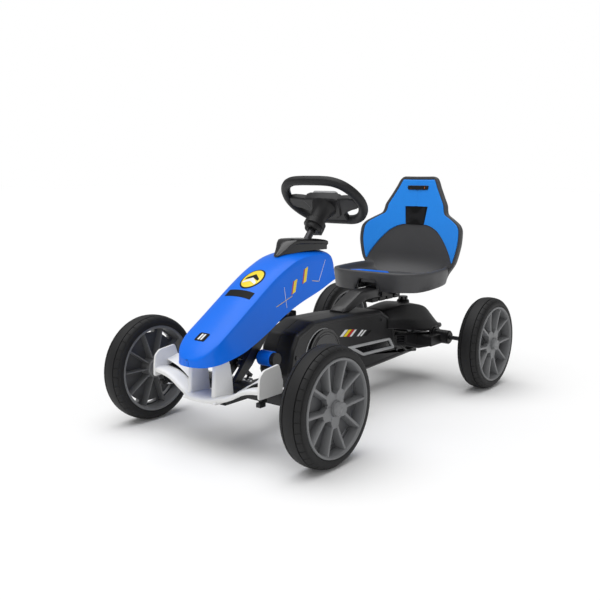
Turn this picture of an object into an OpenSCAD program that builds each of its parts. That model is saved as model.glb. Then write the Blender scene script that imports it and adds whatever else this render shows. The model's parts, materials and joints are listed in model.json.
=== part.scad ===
// Pedal go kart: steel chassis, chain drive to the rear axle, linked front
// steering, plastic body panels and a sliding bucket seat.
// Front faces -Y, +X is the driver's left, Z = 0 is the ground.
// Every module is drawn with Y = 0 at the front axle; placed() moves it to the origin and
// lifts it by what the tyres are larger than drawn.

/* [Chassis] */
// Distance between the front and rear axles
wheelbase = 790; // [760:5:880]
// Distance between the middles of the front tyres
front_track = 544; // [530:2:620]
// Distance between the middles of the rear tyres
rear_track = 509; // [480:2:600]
// How far the nose reaches in front of the front axle
nose_reach = 134; // [134:1:150]
// Width of the square spine tube
spine_w = 30; // [24:1:34]
// Height of the spine tube
spine_h = 30; // [20:1:34]
// Half the width of the front axle beam in the driving direction
beam_half = 14; // [12:1:16]

/* [Wheels] */
// Outer radius of the tyres
tyre_r = 130; // [124:1:140]
// Width of the tyres
tyre_w = 59; // [50:1:66]
// Radius where the tyre sits on the rim
rim_r = 106; // [98:1:108]
// Number of pairs of spokes in a rim
spoke_pairs = 5; // [4:1:6]
// Radius of the wheel spindles and of the rear axle
axle_r = 6; // [5:0.5:7]

/* [Steering] */
// Slope of the steering column above the ground
column_angle = 48; // [48:1:49]
// Radius of the steering column
column_r = 9; // [8:0.5:10]
// Length of the column axis from the front axle to the steering wheel
column_len = 538; // [520:1:556]
// Length of the steering lever under the column
lever_len = 40; // [38:1:42]
// Length of the steering arms on the knuckles
arm_len = 50; // [48:1:54]
// Width of the steering wheel
wheel_w = 248; // [220:1:280]

/* [Drive] */
// Distance of the crank behind the front axle
crank_y = 290; // [280:1:300]
// Height of the crank
crank_z = 155; // [150:1:160]
// Length of the crank arms
crank_len = 85; // [75:1:90]
// Radius of the crank axle
crank_r = 8; // [7:0.5:10]
// Number of teeth on the chainring
ring_teeth = 28; // [26:1:29]
// Number of teeth on the rear sprocket
sprocket_teeth = 16; // [14:1:18]
// Width of a pedal along its spindle
pedal_w = 74; // [60:1:90]

/* [Seat] */
// Half the width of the seat pan
seat_half = 155; // [140:1:165]
// Height of the seat back above the pan floor, along the back
back_h = 298; // [280:1:320]
// Recline of the seat back
back_lean = 9; // [6:1:14]
// Width of the rail that carries the seat
rail_w = 44; // [36:1:50]

/* [Body] */
// Half the width of the middle body covers
cover_half = 50; // [46:1:54]
// Half the width of the nose fairing
fairing_half = 62; // [58:1:66]
// Half the span of the front wing
wing_half = 160; // [140:1:165]
// Wall of the plastic panels
wall = 3; // [2:0.5:4]

/* [Hidden] */

$fn = 64;
fit = 0.05;       // radial running clearance of every pin and shaft
gap = 0.3;        // clearance between faces that move past each other
seam = 0.2;       // clearance between panels that lie on each other
far = 400;        // longer than any cut has to be

y_mid = (wheelbase + tyre_r - nose_reach) / 2;
axle_z = 130;             // height at which the axles are drawn
lift = tyre_r - axle_z;   // larger tyres lift the whole kart
front_x = front_track / 2;
rear_x = rear_track / 2;

// spine, beam and kingpins
spine_x = -34;
spine_top = axle_z - 18;
spine_bottom = spine_top - spine_h;
beam_top = axle_z + 10;
kingpin_x = front_x - 67;
kingpin_r = 5;
yoke_top = axle_z + 16;
yoke_bottom = axle_z - 20;
yoke_t = 6;

// wheels, with +x pointing outward
hub_in = -23.5;
hub_out = 29;
hub_r = 27;
bush_r = axle_r + 4;
bush_len = 12;
cup_r = 16;
cup_x = 20;
collar_r = 9.5;
tread_half = tyre_w / 2 - 2.5;

// steering, in the frame of the column: x across, y down the slope, z along it
mast_foot = 62;
mast_top = 330;
mast_depth = 32;
rail_gap = 12.5;
rail_t = 5;
lever_z = 48;
lever_t = 6;
lever_pin_r = 3;
arm_z = axle_z - 7.7;
arm_t = 5.4;
eye_t = 4;
eye_hole_r = 10;
stud_r = 4;
wheel_t = 25;
wheel_z = column_len - wheel_t / 2;
cowl_hole = 424;  // where the column leaves the cowl

// drive
chain_pitch = 12.7;
chain_x = 18;
chain_w = 6;
ring_r = chain_pitch / (2 * sin(180 / ring_teeth));
sprocket_r = chain_pitch / (2 * sin(180 / sprocket_teeth));
tooth_h = 3.5;
chain_t = 8;
arm_x = cover_half + 8;
arm_w = 10;
spindle_r = 5;
bracket_x0 = -30;
bracket_x1 = 6;

// seat
rail_top = 290;
rail_bottom = 262;
pan_under = 304;
pan_floor = 312;
pan_rim = 338;
skirt_z = 285;
back_y = 789;
back_r = 465;
back_t = 16;
panel_t = 4;

// rear carrier and shroud
housing_x0 = 92;
housing_x1 = 138;
housing_r = 20;
knob_y = wheelbase - 37;
knob_z = 229;
shroud_foot = axle_z + 10 + seam;
shroud_front = 650;  // just behind the upper end of the body covers

module placed() { translate([0, -y_mid, lift]) children(); }
module both_sides() { children(); mirror([1, 0, 0]) children(); }
module rod_x(r, x0, x1) { translate([x0, 0, 0]) rotate([0, 90, 0]) cylinder(r = r, h = x1 - x0); }
module tube_x(ro, ri, x0, x1) {
    difference() {
        rod_x(ro, x0, x1);
        rod_x(ri, x0 - 1, x1 + 1);
    }
}
module rod_z(r, z0, z1) { translate([0, 0, z0]) cylinder(r = r, h = z1 - z0); }
module block(x0, x1, y0, y1, z0, z1) { translate([x0, y0, z0]) cube([x1 - x0, y1 - y0, z1 - z0]); }
// a (y, z) outline made solid from x0 to x1
module slab_x(x0, x1) { translate([x0, 0, 0]) rotate([90, 0, 90]) linear_extrude(x1 - x0) children(); }
// an (x, z) outline made solid from y0 to y1
module slab_y(y0, y1) { translate([0, y1, 0]) rotate([90, 0, 0]) linear_extrude(y1 - y0) children(); }
// an (x, y) outline made solid from z0 to z1
module slab_z(z0, z1) { translate([0, 0, z0]) linear_extrude(z1 - z0) children(); }
module along_column() {
    translate([0, 0, axle_z]) rotate([column_angle - 90, 0, 0]) children();
}
function mirrored(half) = concat(half, [for (i = [len(half) - 1:-1:0]) [-half[i][0], half[i][1]]]);
module rounded(r) { offset(r, $fn = 24) offset(-r) children(); }

// ---------------------------------------------------------------- chassis

module front_beam() {
    color("#1c1c1e") placed() {
        block(-kingpin_x + 19, kingpin_x - 19, -beam_half, beam_half, spine_top, beam_top);
        both_sides() {
            block(kingpin_x - 19, kingpin_x - 14, -10, 10, yoke_bottom - yoke_t, yoke_top + yoke_t);
            for (z = [yoke_bottom - yoke_t, yoke_top]) difference() {
                union() {
                    block(kingpin_x - 19, kingpin_x, -10, 10, z, z + yoke_t);
                    translate([kingpin_x, 0, 0]) rod_z(10, z, z + yoke_t);
                }
                translate([kingpin_x, 0, 0]) rod_z(kingpin_r + fit, z - 1, z + yoke_t + 1);
            }
        }
    }
}

module kingpins() {
    color("#8f9296") placed() both_sides() translate([kingpin_x, 0, 0]) {
        rod_z(kingpin_r, yoke_bottom - yoke_t - 5, yoke_top + yoke_t);
        rod_z(kingpin_r + 3.5, yoke_top + yoke_t, yoke_top + yoke_t + 5);
        rod_z(kingpin_r + 3.5, yoke_bottom - yoke_t - 5, yoke_bottom - yoke_t);
    }
}

module bush_seat(z) {
    difference() {
        block(-rail_gap, rail_gap, -mast_depth / 2, mast_depth / 2, z, z + 20);
        rod_z(column_r + 2.5, z - 1, z + 21);
    }
}

module steering_mast() {
    color("#1c1c1e") placed() {
        along_column() {
            both_sides()
                block(rail_gap, rail_gap + rail_t, -mast_depth / 2, mast_depth / 2, mast_foot, mast_top);
            bush_seat(mast_foot);
            bush_seat(mast_top - 20);
        }
        // gussets down to the axle beam
        both_sides() slab_x(rail_gap + 1, rail_gap + 2 * rail_t) polygon([
            [-beam_half + 1, beam_top], [beam_half - 1, beam_top],
            [49, axle_z + 39], [74, axle_z + 67], [55, axle_z + 85]]);
        // post that holds the fairing
        difference() {
            block(-rail_gap - 2, rail_gap + 2, 186, 202, axle_z + 225, far + 8.5);
            along_column() rod_z(column_r + 3, 0, far);
        }
    }
}

module column_bushes() {
    color("#d8d8d2") placed() along_column() for (z = [mast_foot, mast_top - 20]) difference() {
        rod_z(column_r + 2.5, z, z + 20);
        rod_z(column_r + fit, z - 1, z + 21);
    }
}

module spine_tube() {
    color("#1c1c1e") placed() {
        difference() {
            block(spine_x, spine_x + spine_w, -beam_half, wheelbase - 30, spine_bottom, spine_top);
            block(spine_x + 2, spine_x + spine_w - 2, -far, wheelbase + far,
                spine_bottom + 2, spine_top - 2);
        }
        // bracket and shell of the crank bearing
        difference() {
            union() {
                block(spine_x + 6, spine_x + spine_w - 4, crank_y - 15, crank_y + 15,
                    spine_top, crank_z - 8);
                translate([0, crank_y, crank_z]) rod_x(crank_r + 9, bracket_x0, bracket_x1);
            }
            translate([0, crank_y, crank_z]) rod_x(crank_r + 4, -far, far);
        }
    }
}

module crank_bushes() {
    color("#d8d8d2") placed() translate([0, crank_y, crank_z])
        for (x = [bracket_x0, bracket_x1 - bush_len])
            tube_x(crank_r + 4, crank_r + fit, x, x + bush_len);
}

module rear_carrier() {
    color("#1c1c1e") placed() {
        block(-housing_x1 + 18, housing_x1 - 18, wheelbase - 75, wheelbase - 50, spine_top, axle_z + 10);
        both_sides() {
            difference() {
                union() {
                    block(housing_x0, housing_x1 - 18, wheelbase - 50, wheelbase, spine_top, axle_z + 10);
                    translate([0, wheelbase, axle_z]) rod_x(housing_r, housing_x0, housing_x1);
                }
                translate([0, wheelbase, axle_z]) rod_x(axle_r + 8, -far, far);
            }
        }
    }
}

module axle_bushes() {
    color("#d8d8d2") placed() both_sides() translate([0, wheelbase, axle_z]) difference() {
        union() {
            rod_x(axle_r + 8, housing_x0, housing_x1);
            rod_x(housing_r - 3, housing_x1, housing_x1 + 3);
        }
        rod_x(axle_r + fit, 0, far);
    }
}

module seat_neck() {
    color("#3a3b3d") placed() {
        block(spine_x + 2, spine_x + spine_w, 408, 432, spine_top, 250);
        slab_x(-rail_w / 2, rail_w / 2) rounded(4) polygon([
            [404, 239], [420, 253], [498, rail_top], [730, rail_top],
            [730, rail_bottom], [522, rail_bottom], [442, 239]]);
    }
}

module rail_blocks() {
    color("#19191b") placed() for (i = [0:3])
        block(-18, 18, 557 + 39 * i, 588 + 39 * i, rail_bottom - 12, rail_bottom);
}

// ---------------------------------------------------------------- body panels

module cover_outline() {
    rounded(8) polygon([
        [151, 128], [165, 190], [185, 222], [249, 246], [362, 244], [555, 233], [619, 201],
        [636, 150], [655, 132], [700, 104], [755, 96], [772, 91],
        [755, 84], [480, 75], [215, 75], [172, 88]]);
}

module slot_outline() {
    rounded(6) polygon([[402, 154], [603, 146], [625, 116], [469, 121]]);
}

// half shell on the +X side
module cover_shell() {
    difference() {
        slab_x(seam, cover_half) cover_outline();
        slab_x(-1, cover_half - wall) offset(-wall) cover_outline();
        slab_x(-1, far) slot_outline();
        // clearance for the spine, the seat neck, the crank axle and the rear carrier
        translate([0, crank_y, crank_z]) rod_x(crank_r + 2, 0, far);
        block(-1, -spine_x + 1, 398, 448, 225, far);
        block(-1, -spine_x + 1, 140, 230, spine_bottom - 1, spine_top + 1);
        block(-1, -spine_x + 1, 600, 800, spine_bottom - 1, far);
        block(chain_x - 8, chain_x + 8, 600, 800, 80, far);
    }
}

module body_cover_left() {
    color("#232427") placed() cover_shell();
}

module body_cover_right() {
    color("#232427") placed() mirror([1, 0, 0]) cover_shell();
}

module crank_discs() {
    color("#2a2b2e") placed() both_sides() translate([0, crank_y, crank_z]) difference() {
        union() {
            rod_x(66, cover_half + seam, cover_half + 4);
            rod_x(52, cover_half + 4, cover_half + 5.5);
        }
        rod_x(crank_r + 2, 0, far);
        tube_x(59.5, 57.5, cover_half + 3, far);
    }
}

module slot_trims() {
    color("#b9bcc0") placed() both_sides() slab_x(cover_half - wall, cover_half + 1.5) difference() {
        offset(-seam) slot_outline();
        offset(-seam - 2.5) slot_outline();
    }
}

module panel_screws() {
    color("#3c3d40") placed() {
        both_sides() for (p = [[180, 165], [452, 104], [640, 108], [560, 205]])
            translate([0, p[0], p[1]]) rod_x(5, cover_half, cover_half + 1.8);
    }
}

module shroud_section(y, foot, mid, top, z_foot, z_mid, z_top) {
    translate([0, y, 0]) slab_y(0, 0.01)
        polygon(mirrored([[foot, z_foot], [mid, z_mid], [top, z_top]]));
}

module shroud_form(t) {
    hull() {
        shroud_section(shroud_front + t, cover_half - t, cover_half - t, 34 - t, shroud_foot, 186 - t, 221 - t);
        shroud_section(wheelbase - 30, 84 - t, 80 - t, 38 - t, shroud_foot, 178 - t, 230 - t);
        shroud_section(wheelbase + 32, 89 - t, 86 - t, 46 - t, shroud_foot, 162 - t, 214 - t);
        shroud_section(wheelbase + 58 - t, 76 - t, 72 - t, 42 - t, shroud_foot, 158 - t, 192 - t);
    }
}

module rear_shroud() {
    color("#232427") placed() difference() {
        shroud_form(0);
        shroud_form(wall);
        // open front, where the covers and the chain come in
        block(wall - cover_half, cover_half - wall, 600, shroud_front + wall + 1, 0, 204);
        translate([0, knob_y, 0]) rod_z(6.5, 180, far);
    }
}

module fairing_outline() {
    rounded(5) polygon([
        [-nose_reach - 6, 196], [-126, 215], [-89, 255], [62, 357], [162, 408], [215, 420], [300, 420],
        [308, 413], [320, 392], [315, 343], [255, 323], [178, 301],
        [117, 278], [59, 248], [-17, 217], [-79, 203]]);
}

module fairing_plan(inset) {
    w = fairing_half - inset;
    front = -nose_reach + inset;
    polygon(mirrored([
        [14, front], [34, front + 6], [w - 12, front + 22],
        [w - 5, front + 44], [w, front + 90], [w, 320 - inset]]));
}

module nose_fairing() {
    color("#2f7bf5") placed() difference() {
        intersection() {
            slab_x(-far, far) fairing_outline();
            slab_z(0, 2 * far) fairing_plan(0);
        }
        intersection() {
            slab_x(-far, far) offset(-wall) fairing_outline();
            slab_z(0, 2 * far) fairing_plan(wall);
        }
        // open underside behind the nose, and the column's way through the top
        intersection() {
            slab_x(-fairing_half + wall, fairing_half - wall) polygon([
                [-5, 190], [-5, 260], [60, 290], [180, 340], [300, 360], [312, 370], [330, 300]]);
            slab_z(0, 2 * far) fairing_plan(wall);
        }
        along_column() rod_z(column_r + 5, 0, 2 * far);
    }
}

module column_cowl() {
    color("#141416") placed() difference() {
        union() {
            along_column() rod_z(18, cowl_hole - 12, cowl_hole + 10);
            intersection() {
                slab_x(-far, far) polygon([
                    [161, 408 + gap], [170, 424], [194, 447], [290, 445], [302, 428],
                    [302, 420 + gap], [215, 420 + gap]]);
                slab_z(0, 2 * far) polygon(mirrored([[8, 161], [30, 210], [54, 292], [50, 302]]));
            }
        }
        along_column() rod_z(column_r + 1.5, 0, 2 * far);
        // hollow under the hood
        intersection() {
            slab_x(-far, far) polygon([
                [174, 400], [180, 422], [196, 447 - wall], [288, 445 - wall], [330, 425], [330, 400]]);
            slab_z(0, 2 * far) polygon(mirrored([[4, 172], [27, 212], [51, 292], [50, 340]]));
        }
    }
}

module front_wing() {
    color("#dfe1e2") placed() difference() {
        union() {
            // main blade, rising to the end plates
            slab_y(-86, -beam_half) rounded(1.5) polygon(mirrored([
                [wing_half - 3, 150], [wing_half - 3, 158], [120, 148], [84, 127], [62, 121]]));
            // upper flap on each side
            both_sides() slab_y(-66, -20) polygon([
                [78, 126], [84, 127], [118, 152], [wing_half - 3, 172],
                [wing_half - 3, 178], [114, 158], [76, 132]]);
            // pillars that carry the nose
            both_sides() slab_x(30, 42) polygon([[-90, 116], [-94, 197], [-45, 214], [-28, 158], [-24, 116]]);
        }
        slab_x(-far, far) fairing_outline();
        // scooped underside
        slab_y(-far, far) polygon(mirrored([
            [wing_half + 9, 0], [wing_half + 9, 150], [wing_half - 4, 149],
            [122, 141], [86, 120], [64, 114]]));
    }
}

module wing_endplates() {
    color("#dfe1e2") placed() both_sides() slab_x(wing_half - 3, wing_half + 3) rounded(2)
        polygon([[-86, 142], [-82, 190], [-72, 202], [-20, 206], [-12, 177], [-14, 142]]);
}

module footrest_bar() {
    color("#1c1c1e") placed() along_column() {
        translate([0, mast_depth / 2 + 6, 92]) rod_x(6, -70, 70);
        block(-17, 17, mast_depth / 2, mast_depth / 2 + 6, 84, 100);
    }
}

module footrest_sleeves() {
    color("#2f7bf5") placed() along_column() both_sides()
        translate([0, mast_depth / 2 + 6, 92]) tube_x(18, 6 + fit, 25, 62);
}

module footrest_caps() {
    color("#19191b") placed() along_column() both_sides()
        translate([0, mast_depth / 2 + 6, 92]) difference() {
            rod_x(16, 62, 73);
            rod_x(6 + fit, 0, 70);
        }
}

// ---------------------------------------------------------------- steering

module steering_column() {
    color("#8f9296") placed() along_column() {
        rod_z(column_r, lever_z, wheel_z);
        slab_z(lever_z, lever_z + lever_t) {
            circle(12);
            translate([-7, 0]) square([14, lever_len]);
            translate([0, lever_len]) circle(8);
        }
        translate([0, lever_len, 0]) rod_z(lever_pin_r, 18, lever_z);
    }
}

module steering_hub() {
    color("#141416") placed() along_column() difference() {
        union() {
            rod_z(20, wheel_z - 68, wheel_z);
            rod_z(27, wheel_z - 64, wheel_z - 50);
            // clamp lug
            block(-8, 8, 14, 32, wheel_z - 66, wheel_z - 46);
        }
        rod_z(column_r + fit, 0, far * 2);
    }
}

module wheel_outline(w, inset) {
    difference() {
        offset(-inset) rounded(22) polygon(mirrored([
            [56, -99], [w - 14, -74], [w, -18], [w - 10, 24], [w - 34, 56], [54, 74]]));
        // hand gap above the hub, and a slot beside it on each side
        offset(inset) rounded(10) polygon(mirrored([
            [52, -74], [w - 40, -54], [w - 25, -16], [w - 40, -20], [40, -22]]));
        both_sides() offset(inset) rounded(4) polygon([
            [44, 26], [w - 30, 14], [w - 36, 30], [w - 52, 46], [44, 48]]);
    }
}

module steering_wheel() {
    w = wheel_w / 2;
    color("#1a1a1c") placed() along_column() {
        // the rim is thinner at its edges
        slab_z(wheel_z + 6, wheel_z + wheel_t - 6) wheel_outline(w, 0);
        slab_z(wheel_z, wheel_z + wheel_t) wheel_outline(w, 4);
    }
}

module steering_pad() {
    color("#6c6e72") placed() along_column() slab_z(wheel_z + wheel_t, wheel_z + wheel_t + 9)
        rounded(6) polygon(mirrored([[30, -20], [36, 4], [22, 50]]));
}

module knuckle(stud_dir) {
    difference() {
        union() {
            translate([kingpin_x, 0, 0]) rod_z(11, yoke_bottom + gap, yoke_top - gap);
            translate([0, 0, axle_z]) rod_x(9, kingpin_x + 8, front_x + hub_in - 0.5);
            translate([0, 0, axle_z]) rod_x(axle_r, kingpin_x + 8, front_x + cup_x + 6);
            // collar that keeps the wheel on
            translate([0, 0, axle_z]) rod_x(collar_r, front_x + cup_x + 0.4, front_x + cup_x + 6);
            // steering arm with its stud
            slab_z(arm_z, arm_z + arm_t) {
                translate([kingpin_x - 7, 0]) square([14, arm_len]);
                translate([kingpin_x, arm_len]) circle(9);
            }
            translate([kingpin_x, arm_len, arm_z + arm_t / 2]) mirror([0, 0, stud_dir]) {
                rod_z(stud_r, 0, arm_t / 2 + eye_t + 1);
                rod_z(7, arm_t / 2 + eye_t + 2 * gap, arm_t / 2 + eye_t + 4);
            }
        }
        translate([kingpin_x, 0, 0]) rod_z(kingpin_r + fit, 0, far);
    }
}

module knuckle_left() { color("#2a2b2e") placed() knuckle(1); }
module knuckle_right() { color("#2a2b2e") placed() mirror([1, 0, 0]) knuckle(0); }

// rod from the steering lever to the stud of a knuckle; z is the middle of its eyes
module tie_rod(z) {
    pin_y = lever_len / sin(column_angle)
        + (z - axle_z) / tan(column_angle);
    difference() {
        union() {
            slab_z(z - eye_t / 2, z + eye_t / 2) {
                translate([0, pin_y]) circle(eye_hole_r + 5);
                translate([0, arm_len - 4]) square([24, 8]);
                translate([kingpin_x - 18, arm_len - 4]) square([18, 8]);
                translate([kingpin_x, arm_len]) circle(stud_r + 5);
            }
            translate([0, arm_len, z]) rod_x(4, 20, kingpin_x - 16);
        }
        translate([0, pin_y, 0]) rod_z(eye_hole_r, 0, far);
        translate([kingpin_x, arm_len, 0]) rod_z(stud_r + fit, 0, far);
    }
}

module tie_rod_left() { color("#8f9296") placed() tie_rod(arm_z - gap - eye_t / 2); }
module tie_rod_right() {
    color("#8f9296") placed() mirror([1, 0, 0]) tie_rod(arm_z + arm_t + gap + eye_t / 2);
}

// ---------------------------------------------------------------- wheels

module at_wheel(x, y) { translate([x, y, axle_z]) children(); }

module tyre() {
    half = tyre_w / 2;
    rotate([0, 90, 0]) rotate_extrude() difference() {
        polygon([
            [rim_r + fit, -half + 2.5], [rim_r + 12, -half], [tyre_r - 7, -half + 1.5],
            [tyre_r - 1.5, -half + 8], [tyre_r, -10], [tyre_r, 10], [tyre_r - 1.5, half - 8],
            [tyre_r - 7, half - 1.5], [rim_r + 12, half], [rim_r + fit, half - 2.5]]);
        for (x = [-12, 12]) translate([tyre_r - 3, x - 1.5]) square([10, 3]);
    }
}

module rim(bore) {
    spoke_len = rim_r - 4.5;
    difference() {
        union() {
            rotate([0, 90, 0]) rotate_extrude() polygon([
                [rim_r - 6, -tread_half], [rim_r, -tread_half], [rim_r, tread_half + 2],
                [rim_r - 5, tread_half + 4], [rim_r - 9, tread_half + 1], [rim_r - 7, tread_half - 6]]);
            tube_x(rim_r - 5, hub_r - 2, 4, 9);
            rod_x(hub_r, hub_in, hub_out);
            for (i = [0:spoke_pairs - 1], side = [-1, 1])
                rotate([(i + 0.25) * 360 / spoke_pairs, 0, 0]) slab_x(7, 25) polygon([
                    [side * 2, 12], [side * 14, 12], [side * 27, spoke_len], [side * 18, spoke_len]]);
        }
        rod_x(bore, -far, far);
        rod_x(cup_r, cup_x, far);
    }
}

module hub_cap() {
    rod_x(cup_r + 4, hub_out, hub_out + 3);
    tube_x(cup_r - seam, cup_r - 2.5, hub_out - 4, hub_out);
}

module wheel_bushes() {
    tube_x(bush_r - fit, axle_r + fit, hub_in, hub_in + bush_len);
    tube_x(bush_r - fit, axle_r + fit, cup_x - bush_len, cup_x);
}

module front_tyre_left() { color("#1b1b1c") placed() at_wheel(front_x, 0) tyre(); }
module front_tyre_right() { color("#1b1b1c") placed() mirror([1, 0, 0]) at_wheel(front_x, 0) tyre(); }
module front_rim_left() { color("#808387") placed() at_wheel(front_x, 0) rim(bush_r); }
module front_rim_right() { color("#808387") placed() mirror([1, 0, 0]) at_wheel(front_x, 0) rim(bush_r); }
module front_hub_cap_left() { color("#808387") placed() at_wheel(front_x, 0) hub_cap(); }
module front_hub_cap_right() { color("#808387") placed() mirror([1, 0, 0]) at_wheel(front_x, 0) hub_cap(); }
module front_bushes_left() { color("#d8d8d2") placed() at_wheel(front_x, 0) wheel_bushes(); }
module front_bushes_right() {
    color("#d8d8d2") placed() mirror([1, 0, 0]) at_wheel(front_x, 0) wheel_bushes();
}

module rear_axle() {
    color("#8f9296") placed() at_wheel(0, wheelbase) {
        rod_x(axle_r, -rear_x - cup_x - 6, rear_x + cup_x + 6);
        both_sides() {
            // one collar inside each wheel and one outside it
            rod_x(collar_r, rear_x + hub_in - 6, rear_x + hub_in);
            rod_x(collar_r, rear_x + cup_x, rear_x + cup_x + 6);
        }
    }
}

module rear_tyre_left() { color("#1b1b1c") placed() at_wheel(rear_x, wheelbase) tyre(); }
module rear_tyre_right() { color("#1b1b1c") placed() mirror([1, 0, 0]) at_wheel(rear_x, wheelbase) tyre(); }
module rear_rim_left() { color("#808387") placed() at_wheel(rear_x, wheelbase) rim(axle_r + fit); }
module rear_rim_right() {
    color("#808387") placed() mirror([1, 0, 0]) at_wheel(rear_x, wheelbase) rim(axle_r + fit);
}
module rear_hub_caps() { color("#808387") placed() both_sides() at_wheel(rear_x, wheelbase) hub_cap(); }

// ---------------------------------------------------------------- drive

// toothed wheel along X; each tooth has a root and a tip point on both flanks
module sprocket(teeth, r, hub, bore) {
    step = 360 / teeth;
    difference() {
        union() {
            slab_x(chain_x - chain_w / 2, chain_x + chain_w / 2) polygon([
                for (i = [0:teeth - 1], c = [[-0.32, -3], [-0.1, tooth_h], [0.1, tooth_h], [0.32, -3]])
                    (r + c[1]) * [cos((i + c[0]) * step), sin((i + c[0]) * step)]]);
            rod_x(hub, chain_x - 8, chain_x + 8);
        }
        rod_x(bore, -far, far);
    }
}

module rear_sprocket() {
    color("#8f9296") placed() at_wheel(0, wheelbase)
        sprocket(sprocket_teeth, sprocket_r, axle_r + 7, axle_r + fit);
}

module loop_outline(extra) {
    hull() {
        translate([crank_y, crank_z]) circle(ring_r + tooth_h + extra, $fn = 72);
        translate([wheelbase, axle_z]) circle(sprocket_r + tooth_h + extra, $fn = 72);
    }
}

module chain() {
    color("#6f7175") placed() slab_x(chain_x - 4, chain_x + 4) difference() {
        loop_outline(2 * gap + chain_t);
        loop_outline(2 * gap);
    }
}

module crank_axle() {
    color("#8f9296") placed() translate([0, crank_y, crank_z]) rod_x(crank_r, -arm_x, arm_x);
}

module chainring() {
    color("#8f9296") placed() translate([0, crank_y, crank_z]) difference() {
        sprocket(ring_teeth, ring_r, crank_r + 8, crank_r + fit);
        for (i = [0:4]) rotate([i * 72, 0, 0]) translate([0, 0, ring_r * 0.58]) rod_x(13, -far, far);
    }
}

// arm on the +X side, pointing up or down
module crank_arm(dir) {
    translate([0, crank_y, crank_z]) {
        slab_x(arm_x, arm_x + arm_w) {
            circle(crank_r + 7);
            translate([0, dir * crank_len]) circle(11);
            polygon([[-11, 0], [11, 0], [9, dir * crank_len], [-9, dir * crank_len]]);
        }
        translate([0, 0, dir * crank_len]) {
            rod_x(spindle_r, arm_x + arm_w, arm_x + arm_w + pedal_w + 6);
            rod_x(spindle_r + 3, arm_x + arm_w + pedal_w + 2, arm_x + arm_w + pedal_w + 6);
        }
    }
}

module crank_arms() {
    color("#2a2b2e") placed() {
        crank_arm(-1);
        mirror([1, 0, 0]) crank_arm(1);
    }
}

module pedal(dir) {
    x0 = arm_x + arm_w + 1;
    x1 = x0 + pedal_w;
    translate([0, crank_y, crank_z + dir * crank_len]) difference() {
        slab_x(x0, x1) rounded(5) polygon([
            [-36, -10], [-36, 10], [-14, 13], [14, 13], [36, 10], [36, -10], [14, -13], [-14, -13]]);
        rod_x(spindle_r + fit, 0, far);
        for (side = [-1, 1]) block(x0 + 10, x1 - 10, side * 24 - 5, side * 24 + 5, -far, far);
    }
}

module pedal_left() { color("#1a1a1c") placed() pedal(-1); }
module pedal_right() { color("#1a1a1c") placed() mirror([1, 0, 0]) pedal(1); }

// ---------------------------------------------------------------- seat

module pan_outline() {
    w = seat_half;
    rounded(14) polygon(mirrored([
        [60, 550], [100, 555], [w - 8, 590], [w, 640], [w - 2, 720], [w - 12, 768], [110, 808], [40, 812]]));
}

module in_back_frame() { translate([0, back_y, pan_under]) rotate([-back_lean, 0, 0]) children(); }

// curved sheet between two depths behind the front face of the seat back
module back_sheet(y0, y1) {
    translate([0, -back_r, -20]) difference() {
        cylinder(r = back_r + y1, h = back_h + 60, $fn = 180);
        translate([0, 0, -1]) cylinder(r = back_r + y0, h = back_h + 62, $fn = 180);
    }
}

module back_outline() {
    rounded(10) polygon(mirrored([
        [130, -2], [158, 40], [172, 100], [172, 136], [158, 158], [110, 186], [104, 212],
        [66, back_h - 10], [52, back_h]]));
}

module panel_outline() {
    difference() {
        offset(-10) back_outline();
        // grey arch left open below the panel
        polygon(mirrored([[170, -20], [150, 40], [104, 120], [60, 150], [36, 153]]));
    }
}

module window_outline() {
    rounded(4) polygon(mirrored([[30, 152], [36, 208]]));
}

module badge_outline() {
    rounded(2) polygon(mirrored([[33, back_h - 42], [36, back_h - 28]]));
}

module seat_shell() {
    color("#4a4b4d") placed() {
        difference() {
            slab_z(skirt_z, pan_rim) pan_outline();
            slab_z(pan_floor, far) offset(-14) pan_outline();
            slab_z(0, pan_under) offset(-8) pan_outline();
            // recess in the front skirt, above the rail
            block(-rail_w / 2 - 9, rail_w / 2 + 9, 500, 600, 0, pan_under);
            for (x = [-20, 20], y = [610, 690]) translate([x, y, 0]) rod_z(4, 0, far);
        }
        difference() {
            in_back_frame() difference() {
                intersection() {
                    slab_y(-far, far) back_outline();
                    back_sheet(0, back_t);
                }
                slab_y(-far, far) window_outline();
            }
            slab_z(0, pan_under) offset(-8) pan_outline();
        }
    }
}

module seat_back_panel() {
    color("#2f7bf5") placed() in_back_frame() difference() {
        intersection() {
            slab_y(-far, far) panel_outline();
            back_sheet(-panel_t, -seam);
        }
        slab_y(-far, far) offset(seam) window_outline();
        slab_y(-far, far) offset(seam) badge_outline();
    }
}

module seat_window() {
    color("#101012") placed() in_back_frame() intersection() {
        slab_y(-far, far) offset(-seam) window_outline();
        back_sheet(2, 6);
    }
}

module seat_badge() {
    color("#202124") placed() in_back_frame() intersection() {
        slab_y(-far, far) badge_outline();
        back_sheet(-panel_t - 0.5, -seam);
    }
}

module seat_slider() {
    color("#1c1c1e") placed() difference() {
        block(-rail_w / 2 - 6, rail_w / 2 + 6, 592, 708, rail_bottom + 2, pan_under);
        block(-rail_w / 2 - gap, rail_w / 2 + gap, 500, 800, 0, rail_top + gap);
        for (x = [-20, 20], y = [610, 690]) translate([x, y, 0]) rod_z(4, 0, far);
        translate([0, 650, rail_top - 14]) rod_x(4 + fit, 0, far);
    }
}

module seat_bolts() {
    color("#8f9296") placed() for (x = [-20, 20], y = [610, 690]) translate([x, y, 0]) {
        rod_z(4 - fit, rail_top + 2, pan_floor);
        rod_z(8, pan_floor, pan_floor + 3);
    }
}

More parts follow.
